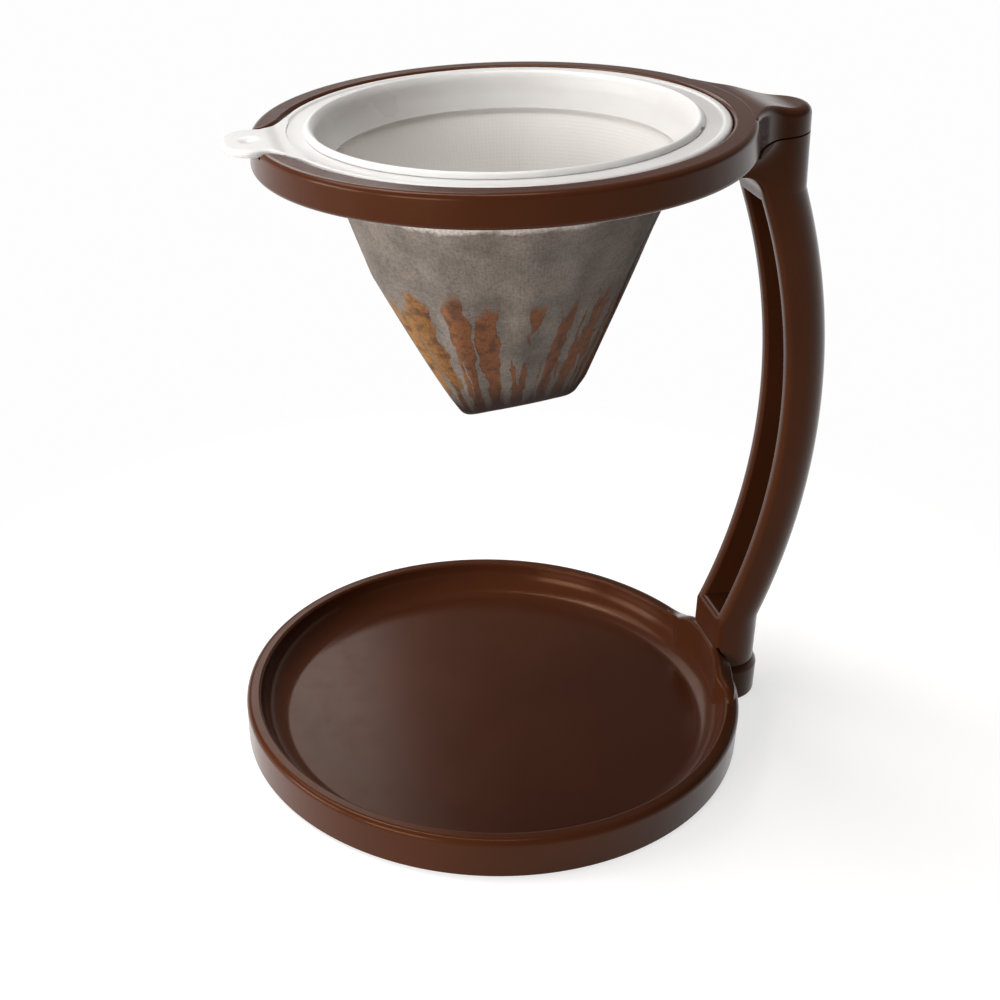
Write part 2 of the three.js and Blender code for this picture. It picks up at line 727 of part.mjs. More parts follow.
function filterCloth(material) {
  const bag = cut(clothCone(0, -clothTop, clothDepth), clothCone(clothWall, 1, clothDepth - clothHem));
  return part('filter_cloth', bag, material);
}

const brownPlastic = new THREE.MeshStandardMaterial({ color: 0x2a100a, roughness: 0.12, metalness: 0 });
const whitePlastic = new THREE.MeshStandardMaterial({ color: 0xe6e4e2, roughness: 0.3, metalness: 0 });
const cotton = new THREE.MeshStandardMaterial({ color: 0xa9a6a4, roughness: 0.95, metalness: 0 });
const zincSteel = new THREE.MeshStandardMaterial({ color: 0xb4b6b8, roughness: 0.35, metalness: 1 });
const softRubber = new THREE.MeshStandardMaterial({ color: 0x1c1a1a, roughness: 0.85, metalness: 0 });

const stand = new THREE.Group();
stand.position.x = centreShift;
stand.add(baseTray(brownPlastic));
stand.add(supportArm(brownPlastic));
stand.add(armScrew('arm_screw_1', -screwSpread, zincSteel));
stand.add(armScrew('arm_screw_2', screwSpread, zincSteel));
padPlaces().forEach((place, i) => stand.add(footPad(`foot_pad_${i + 1}`, place, softRubber)));

const deck = new THREE.Group();
deck.position.set(ringOffset, 0, ringTop);
deck.rotation.y = -lean;
deck.add(supportRing(brownPlastic));
deck.add(filterFlange(whitePlastic));
deck.add(retainingRing(whitePlastic));
deck.add(filterCloth(cotton));
stand.add(deck);

export default stand;
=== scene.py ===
import json
import math
import time
from functools import partial

import bmesh
import bpy
from mathutils import Matrix, Vector


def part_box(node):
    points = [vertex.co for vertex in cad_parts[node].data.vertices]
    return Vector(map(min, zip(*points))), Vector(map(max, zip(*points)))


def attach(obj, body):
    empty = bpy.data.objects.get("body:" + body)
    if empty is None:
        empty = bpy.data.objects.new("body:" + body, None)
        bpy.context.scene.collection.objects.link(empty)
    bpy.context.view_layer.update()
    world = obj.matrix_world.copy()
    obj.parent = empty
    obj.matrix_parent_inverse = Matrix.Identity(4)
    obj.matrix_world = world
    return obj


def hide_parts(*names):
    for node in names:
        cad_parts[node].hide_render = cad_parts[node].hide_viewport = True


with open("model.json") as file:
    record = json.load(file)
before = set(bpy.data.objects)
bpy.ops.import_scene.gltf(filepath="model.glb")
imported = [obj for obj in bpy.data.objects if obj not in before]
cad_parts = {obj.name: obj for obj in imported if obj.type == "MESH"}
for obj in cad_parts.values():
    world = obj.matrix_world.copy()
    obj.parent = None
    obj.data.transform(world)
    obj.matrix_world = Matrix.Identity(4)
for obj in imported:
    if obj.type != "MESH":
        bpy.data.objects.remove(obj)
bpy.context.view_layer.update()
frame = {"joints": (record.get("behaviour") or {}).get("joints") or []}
mm = 0.001
started = time.time()

# Where things stand, from the frame itself. Sizes below are in mm, from the tray's axis on the table
# or, for the ring and what it holds, from the middle of the ring's top face.
trayLow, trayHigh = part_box("base_tray")
trayRadius = (trayHigh.y - trayLow.y) / 2 / mm
trayCentre = Vector((trayLow.x + trayRadius * mm, 0, 0))
liftAxis = Vector(next(j for j in frame["joints"] if j["name"] == "holder_lift")["axis"]).normalized()
lean = math.atan2(-liftAxis.x, liftAxis.z)
deckValues = {"offset": -1.2, "top": 161.14}
standPlace = Matrix.Translation(trayCentre / mm)
deckOnStand = (Matrix.Translation((deckValues["offset"], 0, deckValues["top"]))
               @ Matrix.Rotation(-lean, 4, "Y"))
deckPlace = standPlace @ deckOnStand


def hexColor(code):
    # sRGB hex to linear, with alpha
    channels = [int(code[i:i + 2], 16) / 255 for i in (1, 3, 5)]
    return [c / 12.92 if c <= 0.04045 else ((c + 0.055) / 1.055) ** 2.4 for c in channels] + [1]


def blend(low, high, t):
    return low + (high - low) * t


def eased(t):
    t = min(max(t, 0), 1)
    return t * t * (3 - 2 * t)


def arc(x, y, radius, start, end, steps):
    # points along an arc, from one angle in degrees to another
    angles = [math.radians(blend(start, end, i / steps)) for i in range(steps + 1)]
    return [(x + radius * math.cos(a), y + radius * math.sin(a)) for a in angles]


def rounded(bm, geom, size, segments, affect="EDGES"):
    bmesh.ops.bevel(bm, geom=geom, offset=size, offset_type="OFFSET", affect=affect, segments=segments,
                    profile=0.5, material=-1)


def outline(corners, segments=6):
    # a polygon of (x, y) or (x, y, length rounded off along its sides), as ordered points
    bm = bmesh.new()
    verts = [bm.verts.new((corner[0], corner[1], 0)) for corner in corners]
    bm.faces.new(verts)
    for vert, corner in zip(verts, corners):
        if len(corner) > 2:
            rounded(bm, [vert], corner[2], segments, "VERTICES")
    bm.faces.ensure_lookup_table()
    points = [(v.co.x, v.co.y) for v in bm.faces[0].verts]
    bm.free()
    return points


def closedEdges(bm, points):
    verts = [bm.verts.new(point) for point in points]
    return verts, [bm.edges.new((a, b)) for a, b in zip(verts, verts[1:] + verts[:1])]


def spun(corners, steps=256, segments=6):
    # a closed profile of (radius, height) turned about Z
    bm = bmesh.new()
    verts, edges = closedEdges(bm, [(x, 0, z) for x, z in outline(corners, segments)])
    bmesh.ops.spin(bm, geom=verts + edges, cent=(0, 0, 0), axis=(0, 0, 1), angle=2 * math.pi,
                   steps=steps, use_merge=True)
    bmesh.ops.remove_doubles(bm, verts=bm.verts, dist=1e-4)
    bmesh.ops.delete(bm, geom=[edge for edge in bm.edges if edge.is_wire], context="EDGES")
    bmesh.ops.recalc_face_normals(bm, faces=bm.faces)
    return bm


def lofted(sections, rungs=False):
    # a closed skin over sections that have the same number of points
    # rungs close a curved top from side to side
    bm = bmesh.new()
    loops = [closedEdges(bm, section) for section in sections]
    for low, high in zip(loops, loops[1:]):
        bmesh.ops.bridge_loops(bm, edges=low[1] + high[1])
    bmesh.ops.contextual_create(bm, geom=loops[0][1])
    top, edges = loops[-1]
    if rungs:
        for i in range(1, len(top) // 2 - 1):
            edges.append(bm.edges.new((top[i], top[-1 - i])))
        bmesh.ops.edgenet_fill(bm, edges=edges, sides=4)
    else:
        bmesh.ops.contextual_create(bm, geom=edges)
    bmesh.ops.recalc_face_normals(bm, faces=bm.faces)
    return bm


def level(points, height):
    return [(x, y, height) for x, y in points]


def drum(radius, low, high, x=0, y=0, segments=64):
    bm = bmesh.new()
    bmesh.ops.create_cone(bm, cap_ends=True, segments=segments, radius1=radius, radius2=radius,
                          depth=high - low)
    bmesh.ops.translate(bm, vec=(x, y, (low + high) / 2), verts=bm.verts)
    return bm


def block(low, high):
    bm = bmesh.new()
    bmesh.ops.create_cube(bm, size=1)
    bmesh.ops.scale(bm, vec=[b - a for a, b in zip(low, high)], verts=bm.verts)
    bmesh.ops.translate(bm, vec=[(a + b) / 2 for a, b in zip(low, high)], verts=bm.verts)
    return bm


def turned(bm, degrees):
    turn = Matrix.Rotation(math.radians(degrees), 3, "Z")
    bmesh.ops.rotate(bm, cent=(0, 0, 0), matrix=turn, verts=bm.verts)
    return bm


def pieceFrom(bm, name):
    mesh = bpy.data.meshes.new(name)
    bm.to_mesh(mesh)
    bm.free()
    obj = bpy.data.objects.new(name, mesh)
    bpy.context.scene.collection.objects.link(obj)
    return obj


def bakeModifiers(obj):
    graph = bpy.context.evaluated_depsgraph_get()
    done = bpy.data.meshes.new_from_object(obj.evaluated_get(graph))
    obj.modifiers.clear()
    old, obj.data = obj.data, done
    bpy.data.meshes.remove(old)


def combine(obj, operation, *shapes):
    # joins obj with loose shapes, or cuts them out of it, and uses them up
    bm = bmesh.new()
    for shape in shapes:
        mesh = bpy.data.meshes.new("shape")
        shape.to_mesh(mesh)
        shape.free()
        bm.from_mesh(mesh)
        bpy.data.meshes.remove(mesh)
    other = pieceFrom(bm, "shapes")
    modifier = obj.modifiers.new("combine", "BOOLEAN")
    modifier.object = other
    modifier.operation = operation
    modifier.solver = "EXACT"
    bakeModifiers(obj)
    bpy.data.objects.remove(other)


def finishPiece(obj, place, body, nodes, material, smooth=35, flat=None):
    # put in place in its mesh, mm to metres, smooth up to an angle but for faces square to flat
    obj.data.transform(place)
    obj.data.transform(Matrix.Scale(mm, 4))
    obj.data.materials.clear()
    obj.data.materials.append(material)
    bm = bmesh.new()
    bm.from_mesh(obj.data)
    for face in bm.faces:
        face.smooth = flat is None or face.normal.dot(flat) < 0.9999
        face.material_index = 0
    for edge in bm.edges:
        edge.smooth = len(edge.link_faces) == 2 and edge.calc_face_angle(0) < math.radians(smooth)
    bm.to_mesh(obj.data)
    bm.free()
    weighted = obj.modifiers.new("weightedNormals", "WEIGHTED_NORMAL")
    weighted.keep_sharp = True
    bakeModifiers(obj)
    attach(obj, body)
    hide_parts(*nodes)
    print(obj.name, len(obj.data.polygons), "faces", round(time.time() - started, 1), "s")


def addNode(tree, kind, settings={}):
    # settings go to inputs by name or number, or to the node itself
    # a node or an output given there is linked, and a hex value is a colour
    node = tree.nodes.new("ShaderNode" + kind)
    for key, value in settings.items():
        if isinstance(value, bpy.types.Node):
            value = value.outputs[0]
        if isinstance(value, str) and value.startswith("#"):
            value = hexColor(value)
        if isinstance(value, bpy.types.NodeSocket):
            tree.links.new(value, node.inputs[key])
        elif key == "stops":
            for element, (position, color) in zip(node.color_ramp.elements, value):
                element.position, element.color = position, hexColor(color)
        elif isinstance(key, int) or key in node.inputs:
            node.inputs[key].default_value = value
        else:
            setattr(node, key, value)
    return node


def newMaterial(name):
    # an empty finish, what adds its nodes, and where a point is on the object
    material = bpy.data.materials.new(name)
    material.use_nodes = True
    material.node_tree.nodes.clear()
    add = partial(addNode, material.node_tree)
    return material, add, add("TexCoord").outputs["Object"]


def fields(size):
    # noise scale in 1/m for a pattern of this size in mm
    return 1 / (size * mm)


brownValues = {
    "deep": "#472414", "warm": "#4e2917", "roughness": 0.19, "scuffed": 0.07, "specularTint": "#a87f62",
    "ior": 1.4, "flowSize": 35, "scuffSize": 5, "peelSize": 1.6, "peelHeight": 0.0012,
}


def brownAbsMaterial():
    # ABS, moulded glossy and coloured through: red-brown, with faint flow marks, orange peel and scuffs
    v = brownValues
    material, add, place = newMaterial("brownGlossyAbsMoulded")
    flow = add("TexNoise", {"Vector": place, "Scale": fields(v["flowSize"]), "Detail": 2.0})
    color = add("ValToRGB", {"Fac": flow, "stops": [(0.3, v["deep"]), (0.7, v["warm"])]})
    scuff = add("TexNoise", {"Vector": place, "Scale": fields(v["scuffSize"]), "Detail": 8.0,
                             "Roughness": 0.7})
    rough = add("MapRange", {"Value": scuff, "From Min": 0.45, "From Max": 0.75, "To Min": v["roughness"],
                             "To Max": v["roughness"] + v["scuffed"]})
    peel = add("TexNoise", {"Vector": place, "Scale": fields(v["peelSize"]), "Detail": 1.0})
    bump = add("Bump", {"Height": peel, "Strength": 1.0, "Distance": v["peelHeight"] * mm})
    shader = add("BsdfPrincipled", {"Base Color": color, "Roughness": rough, "Normal": bump, "IOR": v["ior"],
                                    "Specular Tint": v["specularTint"]})
    add("OutputMaterial", {"Surface": shader})
    return material


whiteValues = {
    "clean": "#e2dfdc", "dull": "#dcd8d4", "roughness": 0.28, "ior": 1.49, "milky": 0.1,
    "milkyDepth": (3, 2.6, 2.4), "flowSize": 22, "grainSize": 0.7, "grainHeight": 0.0015,
}


def whitePpMaterial():
    # polypropylene, moulded satin: milky white with a soft even sheen, dulled a little by hot water
    v = whiteValues
    material, add, place = newMaterial("whiteSatinPpMoulded")
    flow = add("TexNoise", {"Vector": place, "Scale": fields(v["flowSize"]), "Detail": 3.0})
    color = add("ValToRGB", {"Fac": flow, "stops": [(0.35, v["dull"]), (0.6, v["clean"])]})
    rough = add("MapRange", {"Value": flow, "To Min": v["roughness"] - 0.03, "To Max": v["roughness"] + 0.06})
    grain = add("TexNoise", {"Vector": place, "Scale": fields(v["grainSize"]), "Detail": 2.0})
    bump = add("Bump", {"Height": grain, "Strength": 1.0, "Distance": v["grainHeight"] * mm})
    shader = add("BsdfPrincipled", {
        "Base Color": color, "Roughness": rough, "Normal": bump, "IOR": v["ior"],
        "Subsurface Weight": v["milky"], "Subsurface Radius": [depth * mm for depth in v["milkyDepth"]],
        "Subsurface Scale": 1.0,
    })
    add("OutputMaterial", {"Surface": shader})
    return material


steelValues = {"dark": "#a9acb0", "light": "#c6c8ca", "mottleSize": 0.6, "smooth": 0.25, "rough": 0.45}


def zincSteelMaterial():
    # steel, zinc plated: cool grey metal, finely mottled
    v = steelValues
    material, add, place = newMaterial("zincPlatedSteel")
    mottle = add("TexNoise", {"Vector": place, "Scale": fields(v["mottleSize"]), "Detail": 4.0})
    rough = add("MapRange", {"Value": mottle, "To Min": v["smooth"], "To Max": v["rough"]})
    color = add("ValToRGB", {"Fac": mottle, "stops": [(0.3, v["dark"]), (0.7, v["light"])]})
    shader = add("BsdfPrincipled", {"Base Color": color, "Roughness": rough, "Metallic": 1.0})
    add("OutputMaterial", {"Surface": shader})
    return material


rubberValues = {"dark": "#1b1919", "dusty": "#34302e", "roughness": 0.8, "dustSize": 1.1, "pitDepth": 0.03}


def softRubberMaterial():
    # rubber, moulded: near black, matt, finely pitted and a little dusty
    v = rubberValues
    material, add, place = newMaterial("blackMouldedRubber")
    dust = add("TexNoise", {"Vector": place, "Scale": fields(v["dustSize"]), "Detail": 5.0})
    color = add("ValToRGB", {"Fac": dust, "stops": [(0.4, v["dark"]), (0.8, v["dusty"])]})
    bump = add("Bump", {"Height": dust, "Strength": 0.6, "Distance": v["pitDepth"] * mm})
    shader = add("BsdfPrincipled", {"Base Color": color, "Normal": bump, "Roughness": v["roughness"]})
    add("OutputMaterial", {"Surface": shader})
    return material


brownAbs = brownAbsMaterial()
whitePp = whitePpMaterial()
zincSteel = zincSteelMaterial()
softRubber = softRubberMaterial()
print("hard materials made")


# Base tray
trayValues = {
    "rimHeight": 11.1, "rimBand": 3.8, "rimEdge": 1.6, "innerEdge": 0.8, "taper": 0.2, "recessFillet": 7.4,
    "floorHeight": 2.8, "wall": 2.1, "clearance": 0.5, "ribs": 16, "ribThickness": 1.6, "ribTop": 6.5,
    "pads": 4, "padRadius": 3.9, "padRecess": 1.3, "padInset": 7.2, "bossWall": 1.1, "gap": 0.3,
}
socketValues = {
    "halfWidth": 9.2, "reach": 9.5, "height": 11.6, "chamfer": 1.9, "chamferDepth": 0.9, "footRound": 1.2,
    "floor": 4.6, "frontWall": 0.4,
}
shoulderValues = {
    "height": 18, "dip": 0.7, "inset": 6.3, "crest": 2, "fall": 3.1, "spread": 12, "soft": 0.34,
    "edge": 0.7, "besideHeight": 15, "steps": 26, "stepAngle": 0.92,
}
armValues = {
    "halfWidth": 8.65, "depth": 14, "frontInset": 5.7, "footHeight": 25, "frontBow": 11.8, "backBow": 10.95,
    "corner": 1.6, "channelHalfWidth": 5.1, "channelWall": 3.4, "channelCorner": 3.3, "channelBottom": 27,
    "channelTopDrop": 20.6, "channelEdge": 1.0, "channelSteps": 72, "tenonInset": 2.4, "tenonCorner": 1.5,
}
screwValues = {
    "spread": 4.2, "radius": 1.4, "headRadius": 2.7, "headHeight": 1.7, "length": 12, "recess": 0.3,
    "bearing": 0.2, "slot": 0.7, "slotDepth": 0.8, "pitch": 1.1, "threadDepth": 0.3, "tip": 1.6,
}
ringValues = {
    "radius": 55.8, "draft": 0.5, "height": 7.1, "band": 4.8, "wall": 2.6, "edge": 1.25, "footRound": 1.2,
    "seatStep": 0.6, "shelfDepth": 2.8, "shelfWidth": 3.9, "shelfThickness": 2.1,
}
bracketValues = {
    "reach": 17.1, "halfWidth": 8.9, "depth": 8.4, "drop": 2.1, "level": 0.4, "fall": 11.5, "under": 0.03,
    "round": 2.2, "flare": 12.6, "flarePower": 1.9, "setback": 0.45,
}
headValues = {
    "kneeDepth": 21.9, "kneeRadius": 6.95, "kneeSetback": 2, "kneeLower": 1.6, "kneeFront": 6.7,
    "tenonHeight": 4, "tenonHalfWidth": 5,
}

armFront = trayRadius - armValues["frontInset"]
armBack = armFront + armValues["depth"]
screwX = (armFront + armBack) / 2
screwSeat = trayValues["clearance"] + screwValues["recess"] + screwValues["headHeight"]
seatRadius = ringValues["radius"] - ringValues["band"] - ringValues["seatStep"]
flangeRadius = seatRadius - 0.3
bracketEnd = ringValues["radius"] + bracketValues["reach"]
headFront = seatRadius + 0.3
headTop = -bracketValues["depth"] - 0.1


def dSection(front, back, halfWidth, corner, flare=0, middle=1):
    # flat front with rounded corners, sides that may flare towards it, and a half-round back
    centre = back - halfWidth
    sideSteps = 14
    half = [(front, middle)] + arc(front + corner, halfWidth + flare - corner, corner, 180, 90, 6)
    for i in range(1, sideSteps):
        share = (sideSteps - i) / sideSteps
        half.append((blend(centre, front + corner, share),
                     halfWidth + flare * share ** bracketValues["flarePower"]))
    half += arc(centre, 0, halfWidth, 90, 3, 16)
    return [(x, -y) for x, y in half] + [(x, y) for x, y in reversed(half)]


def boxSection(x0, x1, halfWidth, corner):
    return outline([(x0, -halfWidth, corner), (x1, -halfWidth, corner),
                    (x1, halfWidth, corner), (x0, halfWidth, corner)])


def tenonSection(clearance=0):
    inset = armValues["tenonInset"] - clearance
    return boxSection(armFront + inset, armBack - inset, armValues["halfWidth"] - inset,
                      armValues["tenonCorner"])


def headTenonSection(clearance=0):
    end = bracketEnd - bracketValues["round"] * 2 - armValues["tenonCorner"]
    return boxSection(ringValues["radius"] - clearance, end + clearance,
                      headValues["tenonHalfWidth"] + clearance, armValues["tenonCorner"])


def trayShell():
    v = trayValues
    recess = trayRadius - v["rimBand"]
    floorEdge = recess - v["recessFillet"]
    inside = trayRadius - v["taper"] - v["wall"]
    foot = trayRadius - v["taper"]
    underside = v["floorHeight"] - v["wall"]
    hollowRadius = v["recessFillet"] + v["wall"]
    hollowEnd = -math.degrees(math.acos((inside - floorEdge) / hollowRadius))
    hollow = arc(floorEdge, v["floorHeight"] + v["recessFillet"], hollowRadius, -90, hollowEnd, 10)
    return spun([
        (0, underside), *hollow, (inside, v["clearance"], 0.3), (foot, v["clearance"], 0.6),
        (trayRadius, v["rimHeight"], v["rimEdge"]), (recess, v["rimHeight"], v["innerEdge"]),
        (recess, v["floorHeight"], v["recessFillet"] - 0.01), (0, v["floorHeight"]),
    ], steps=320, segments=8)


def shoulderRoom():
    # the shoulder's section turned about the tray's axis, with room round it for the arm's foot
    v, gap = shoulderValues, trayValues["gap"]
    floorEdge = trayRadius - trayValues["rimBand"] - trayValues["recessFillet"]
    inner = trayRadius - v["inset"]
    crest = inner + v["crest"]
    return spun([
        (floorEdge, 0), (trayRadius - 0.1, 0), (trayRadius - 0.1, trayValues["rimHeight"] + gap),
        (crest + v["fall"], socketValues["height"] + gap, gap), (crest, v["height"] + gap, gap),
        (inner, v["height"] - v["dip"] + gap, gap),
    ], steps=128)


def shoulder():
    # the rim swept up to the arm: sections about the tray's axis whose height eases down on each side
    v, soft = shoulderValues, shoulderValues["soft"]
    rim, rimEdge = trayValues["rimHeight"], trayValues["rimEdge"]
    recess = trayRadius - trayValues["rimBand"]
    inner = trayRadius - v["inset"]
    foot = trayValues["floorHeight"] + 0.1
    flat = rim - 0.05
    sections = []
    for i in range(-v["steps"], v["steps"] + 1):
        angle = math.radians(i * v["stepAngle"])
        aside = abs(recess * math.sin(angle))
        t = (socketValues["halfWidth"] + v["spread"] - aside) / v["spread"]
        if t < soft:
            t = max(t + soft, 0) ** 2 / (4 * soft)
        elif t > 1 - soft:
            t = 1 - max(1 + soft - t, 0) ** 2 / (4 * soft)
        innerNow = blend(recess + 0.5, inner, eased(t * 1.7))
        crest = innerNow + v["crest"]
        fallTo = v["besideHeight"] if aside > socketValues["halfWidth"] else socketValues["height"]
        points = outline([
            (innerNow, foot), (trayRadius - 0.1, foot), (trayRadius - 0.1, rim - rimEdge - 0.1),
            (trayRadius - rimEdge * 0.35, rim - rimEdge * 0.35),
            (blend(trayRadius - rimEdge - 0.1, crest + v["fall"], t), blend(flat, fallTo, t),
             v["edge"] * 0.3),
            (crest, blend(flat, v["height"], t), v["edge"]),
            (innerNow, blend(flat - 0.02, v["height"] - v["dip"], t), v["edge"]),
        ])
        sections.append([(x * math.cos(angle), x * math.sin(angle), z) for x, z in points])
    return lofted(sections)


def socketBlock():
    # its front stays inside the shoulder's wall
    v = socketValues
    front = trayRadius - shoulderValues["inset"] + v["frontWall"]
    back = trayRadius + v["reach"]
    chamferFoot = v["height"] - v["chamfer"]
    levels = arc(v["footRound"], trayValues["clearance"] + v["footRound"], v["footRound"], 270, 180, 6)
    levels += [(0, chamferFoot - 0.4), (0.1, chamferFoot + 0.1)]
    levels += [(v["chamferDepth"] - 0.1, v["height"] - 0.4), (v["chamferDepth"] + 0.3, v["height"])]
    return lofted([level(dSection(front, back - inset, v["halfWidth"] - inset, 2), z)
                   for inset, z in levels])


def padPlaces():
    v = trayValues
    radius = trayRadius - v["padInset"]
    angles = [2 * math.pi * (i + 0.5) / v["pads"] for i in range(v["pads"])]
    return [(radius * math.cos(a), radius * math.sin(a)) for a in angles]


def rimRibs():
    v = trayValues
    inner = trayRadius - v["rimBand"] - v["recessFillet"] + 1
    outer = trayRadius - v["taper"] - v["wall"] + 0.5
    low = v["floorHeight"] - v["wall"] + 0.5
    profile = [(inner, low), (outer, low), (outer, v["ribTop"]), (outer - 1, v["ribTop"]),
               (inner, v["floorHeight"] - 0.5)]
    ribs = []
    for i in range(v["ribs"]):
        sides = [[(x, y, z) for x, z in profile] for y in (-v["ribThickness"] / 2, v["ribThickness"] / 2)]
        ribs.append(turned(lofted(sides), (i + 0.5) * 360 / v["ribs"]))
    return ribs


def baseTray():
    v, s = trayValues, screwValues
    tray = pieceFrom(trayShell(), "tray_with_socket")
    pocket = v["padRadius"] + v["gap"]
    bosses = [drum(pocket + v["bossWall"], v["clearance"], v["floorHeight"] - 0.1, x, y)
              for x, y in padPlaces()]
    combine(tray, "UNION", *rimRibs(), *bosses)
    combine(tray, "UNION", shoulder())
    combine(tray, "UNION", socketBlock())
    sides = (-s["spread"], s["spread"])
    holes = [drum(pocket, -1, v["clearance"] + v["padRecess"], x, y) for x, y in padPlaces()]
    holes += [drum(s["headRadius"] + v["gap"], -1, screwSeat + s["bearing"], screwX, y, 48)
              for y in sides]
    holes.append(lofted([level(tenonSection(v["gap"]), z) for z in (socketValues["floor"], 25)]))
    combine(tray, "DIFFERENCE", *holes)
    bores = [drum(s["radius"] + v["gap"], 0, socketValues["floor"] + 1, screwX, y, 32) for y in sides]
    combine(tray, "DIFFERENCE", *bores)
    finishPiece(tray, standPlace, "stand", ["base_tray"], brownAbs)


# Arm
def bowed(low, high, bow, height):
    # where an arc through two points (x, z), with a given rise, stands at a height
    chord = high - low
    radius = (chord.length ** 2 / 4 + bow ** 2) / (2 * bow)
    along = chord.normalized()
    centre = (low + high) / 2 + Vector((-along.y, along.x)) * (radius - bow)
    return centre.x + math.sqrt(radius ** 2 - (height - centre.y) ** 2)


def kneeAt(x):
    place = deckOnStand @ Vector((x, 0, -headValues["kneeDepth"]))
    return Vector((place.x, place.z))


def armFrontAt(z):
    knee = kneeAt(headFront + headValues["kneeSetback"] + headValues["kneeFront"])
    return bowed(Vector((armFront, armValues["footHeight"])), knee, armValues["frontBow"], z)


def armBackAt(z):
    return bowed(Vector((armBack, armValues["footHeight"])), kneeAt(bracketEnd), armValues["backBow"], z)


def headSections():
    # in the ring's frame: the hollow knee, then the block that flares out to the ring and the bracket
    v, a, b = headValues, armValues, bracketValues
    hollowX = headFront + v["kneeSetback"]
    hollowZ = -v["kneeDepth"] - v["kneeLower"]
    underside = hollowZ + v["kneeRadius"]
    places = [(front, z, 0) for front, z in arc(hollowX, hollowZ, v["kneeRadius"], 15, 88, 14)]
    steps = 16
    for i in range(steps + 1):
        share = i / steps
        places.append((headFront, blend(underside + 0.3, headTop, share), b["flare"] * share ** 2.2))
    sections = []
    for front, z, flare in places:
        halfWidth = blend(a["halfWidth"], b["halfWidth"], flare / b["flare"])
        points = dSection(front, bracketEnd, halfWidth, a["corner"], flare, a["channelHalfWidth"])
        sections.append([deckOnStand @ Vector((x, y, z)) for x, y in points])
    return sections


def ends(edge):
    return frozenset(tuple(vert.co) for vert in edge.verts)


def cutChannel(bm, top):
    # the strip along the front pushed in, its inner corners rounded and its mouth eased
    v = armValues
    strip = [face for face in bm.faces if len(face.verts) == 4
             and all(abs(abs(vert.co.y) - v["channelHalfWidth"]) < 0.01 for vert in face.verts)
             and all(v["channelBottom"] - 0.01 < vert.co.z < top + 0.01 for vert in face.verts)
             and face.calc_center_median().x < armFrontAt(face.calc_center_median().z) + 1]
    mouth = {ends(edge) for edge in bm.edges if len([face for face in edge.link_faces if face in strip]) == 1}
    pushed = bmesh.ops.extrude_face_region(bm, geom=strip)["geom"]
    bmesh.ops.delete(bm, geom=strip, context="FACES_ONLY")
    floor = [face for face in pushed if isinstance(face, bmesh.types.BMFace)]
    for vert in {vert for face in floor for vert in face.verts}:
        vert.co.x = armBackAt(vert.co.z) - v["channelWall"]
    corners = [edge for face in floor for edge in face.edges
               if abs(edge.verts[0].co.y - edge.verts[1].co.y) < 0.01]
    rounded(bm, list(dict.fromkeys(corners)), v["channelCorner"], 8)
    rounded(bm, [edge for edge in bm.edges if ends(edge) in mouth], v["channelEdge"], 4)


def supportArm():
    v, s = armValues, screwValues
    top = deckValues["top"] - v["channelTopDrop"]
    steps = v["channelSteps"]
    heights = [socketValues["height"] + 0.15, shoulderValues["height"], v["footHeight"]]
    heights += [blend(v["channelBottom"], top, i / steps) for i in range(steps + 1)]
    sections = []
    for z in heights:
        bowing = z > v["footHeight"]
        front = armFrontAt(z) if bowing else armFront
        back = armBackAt(z) if bowing else armBack
        sections.append(level(dSection(front, back, v["halfWidth"], v["corner"],
                                       middle=v["channelHalfWidth"]), z))
    head = headSections()
    # a section close on each side keeps the knee's crease firm
    nearKnee = [[Vector(a).lerp(Vector(b), share) for a, b in zip(low, high)]
                for low, high, share in ((sections[-1], head[0], 0.9), (head[0], head[1], 0.1))]
    bm = lofted(sections + nearKnee[:1] + head[:1] + nearKnee[1:] + head[1:])
    cutChannel(bm, top)
    bmesh.ops.recalc_face_normals(bm, faces=bm.faces)
    arm = pieceFrom(bm, "bowed_channel_arm")
    combine(arm, "DIFFERENCE", shoulderRoom())
    tenon = lofted([level(tenonSection(), z) for z in (socketValues["floor"] + trayValues["gap"], 22)])
    headTenon = lofted([[deckOnStand @ Vector((x, y, z)) for x, y in headTenonSection()]
                        for z in (headTop - 2, headTop + headValues["tenonHeight"])])
    combine(arm, "UNION", tenon, headTenon)
    pilots = [drum(s["radius"] + trayValues["gap"], 0, screwSeat + s["length"] + 1, screwX, y, 32)
              for y in (-s["spread"], s["spread"])]
    combine(arm, "DIFFERENCE", *pilots)
    finishPiece(arm, standPlace, "stand", ["support_arm"], brownAbs)


# Screws and pads
def armScrew(number, side):
    v = screwValues
    low = trayValues["clearance"] + v["recess"]
    end = screwSeat + v["length"]
    root = v["radius"] - v["threadDepth"]
    corners = [(0, low), (v["headRadius"], low, 0.6), (v["headRadius"], screwSeat, 0.2),
               (v["radius"], screwSeat)]
    for i in range(int((v["length"] - 3) / v["pitch"])):
        z = screwSeat + 0.8 + i * v["pitch"]
        corners += [(root, z), (v["radius"], z + v["pitch"] * 0.35), (root, z + v["pitch"] * 0.7)]
    corners += [(root, end - v["tip"]), (0, end)]
    screw = pieceFrom(spun(corners, steps=48, segments=4), f"slotted_screw_{number}")
    half, slot = v["headRadius"] * 0.6, v["slot"] / 2
    for x, y in ((half, slot), (slot, half)):
        combine(screw, "DIFFERENCE", block((-x, -y, -1), (x, y, low + v["slotDepth"])))
    place = standPlace @ Matrix.Translation((screwX, side, 0))
    finishPiece(screw, place, "stand", [f"arm_screw_{number}"], zincSteel)


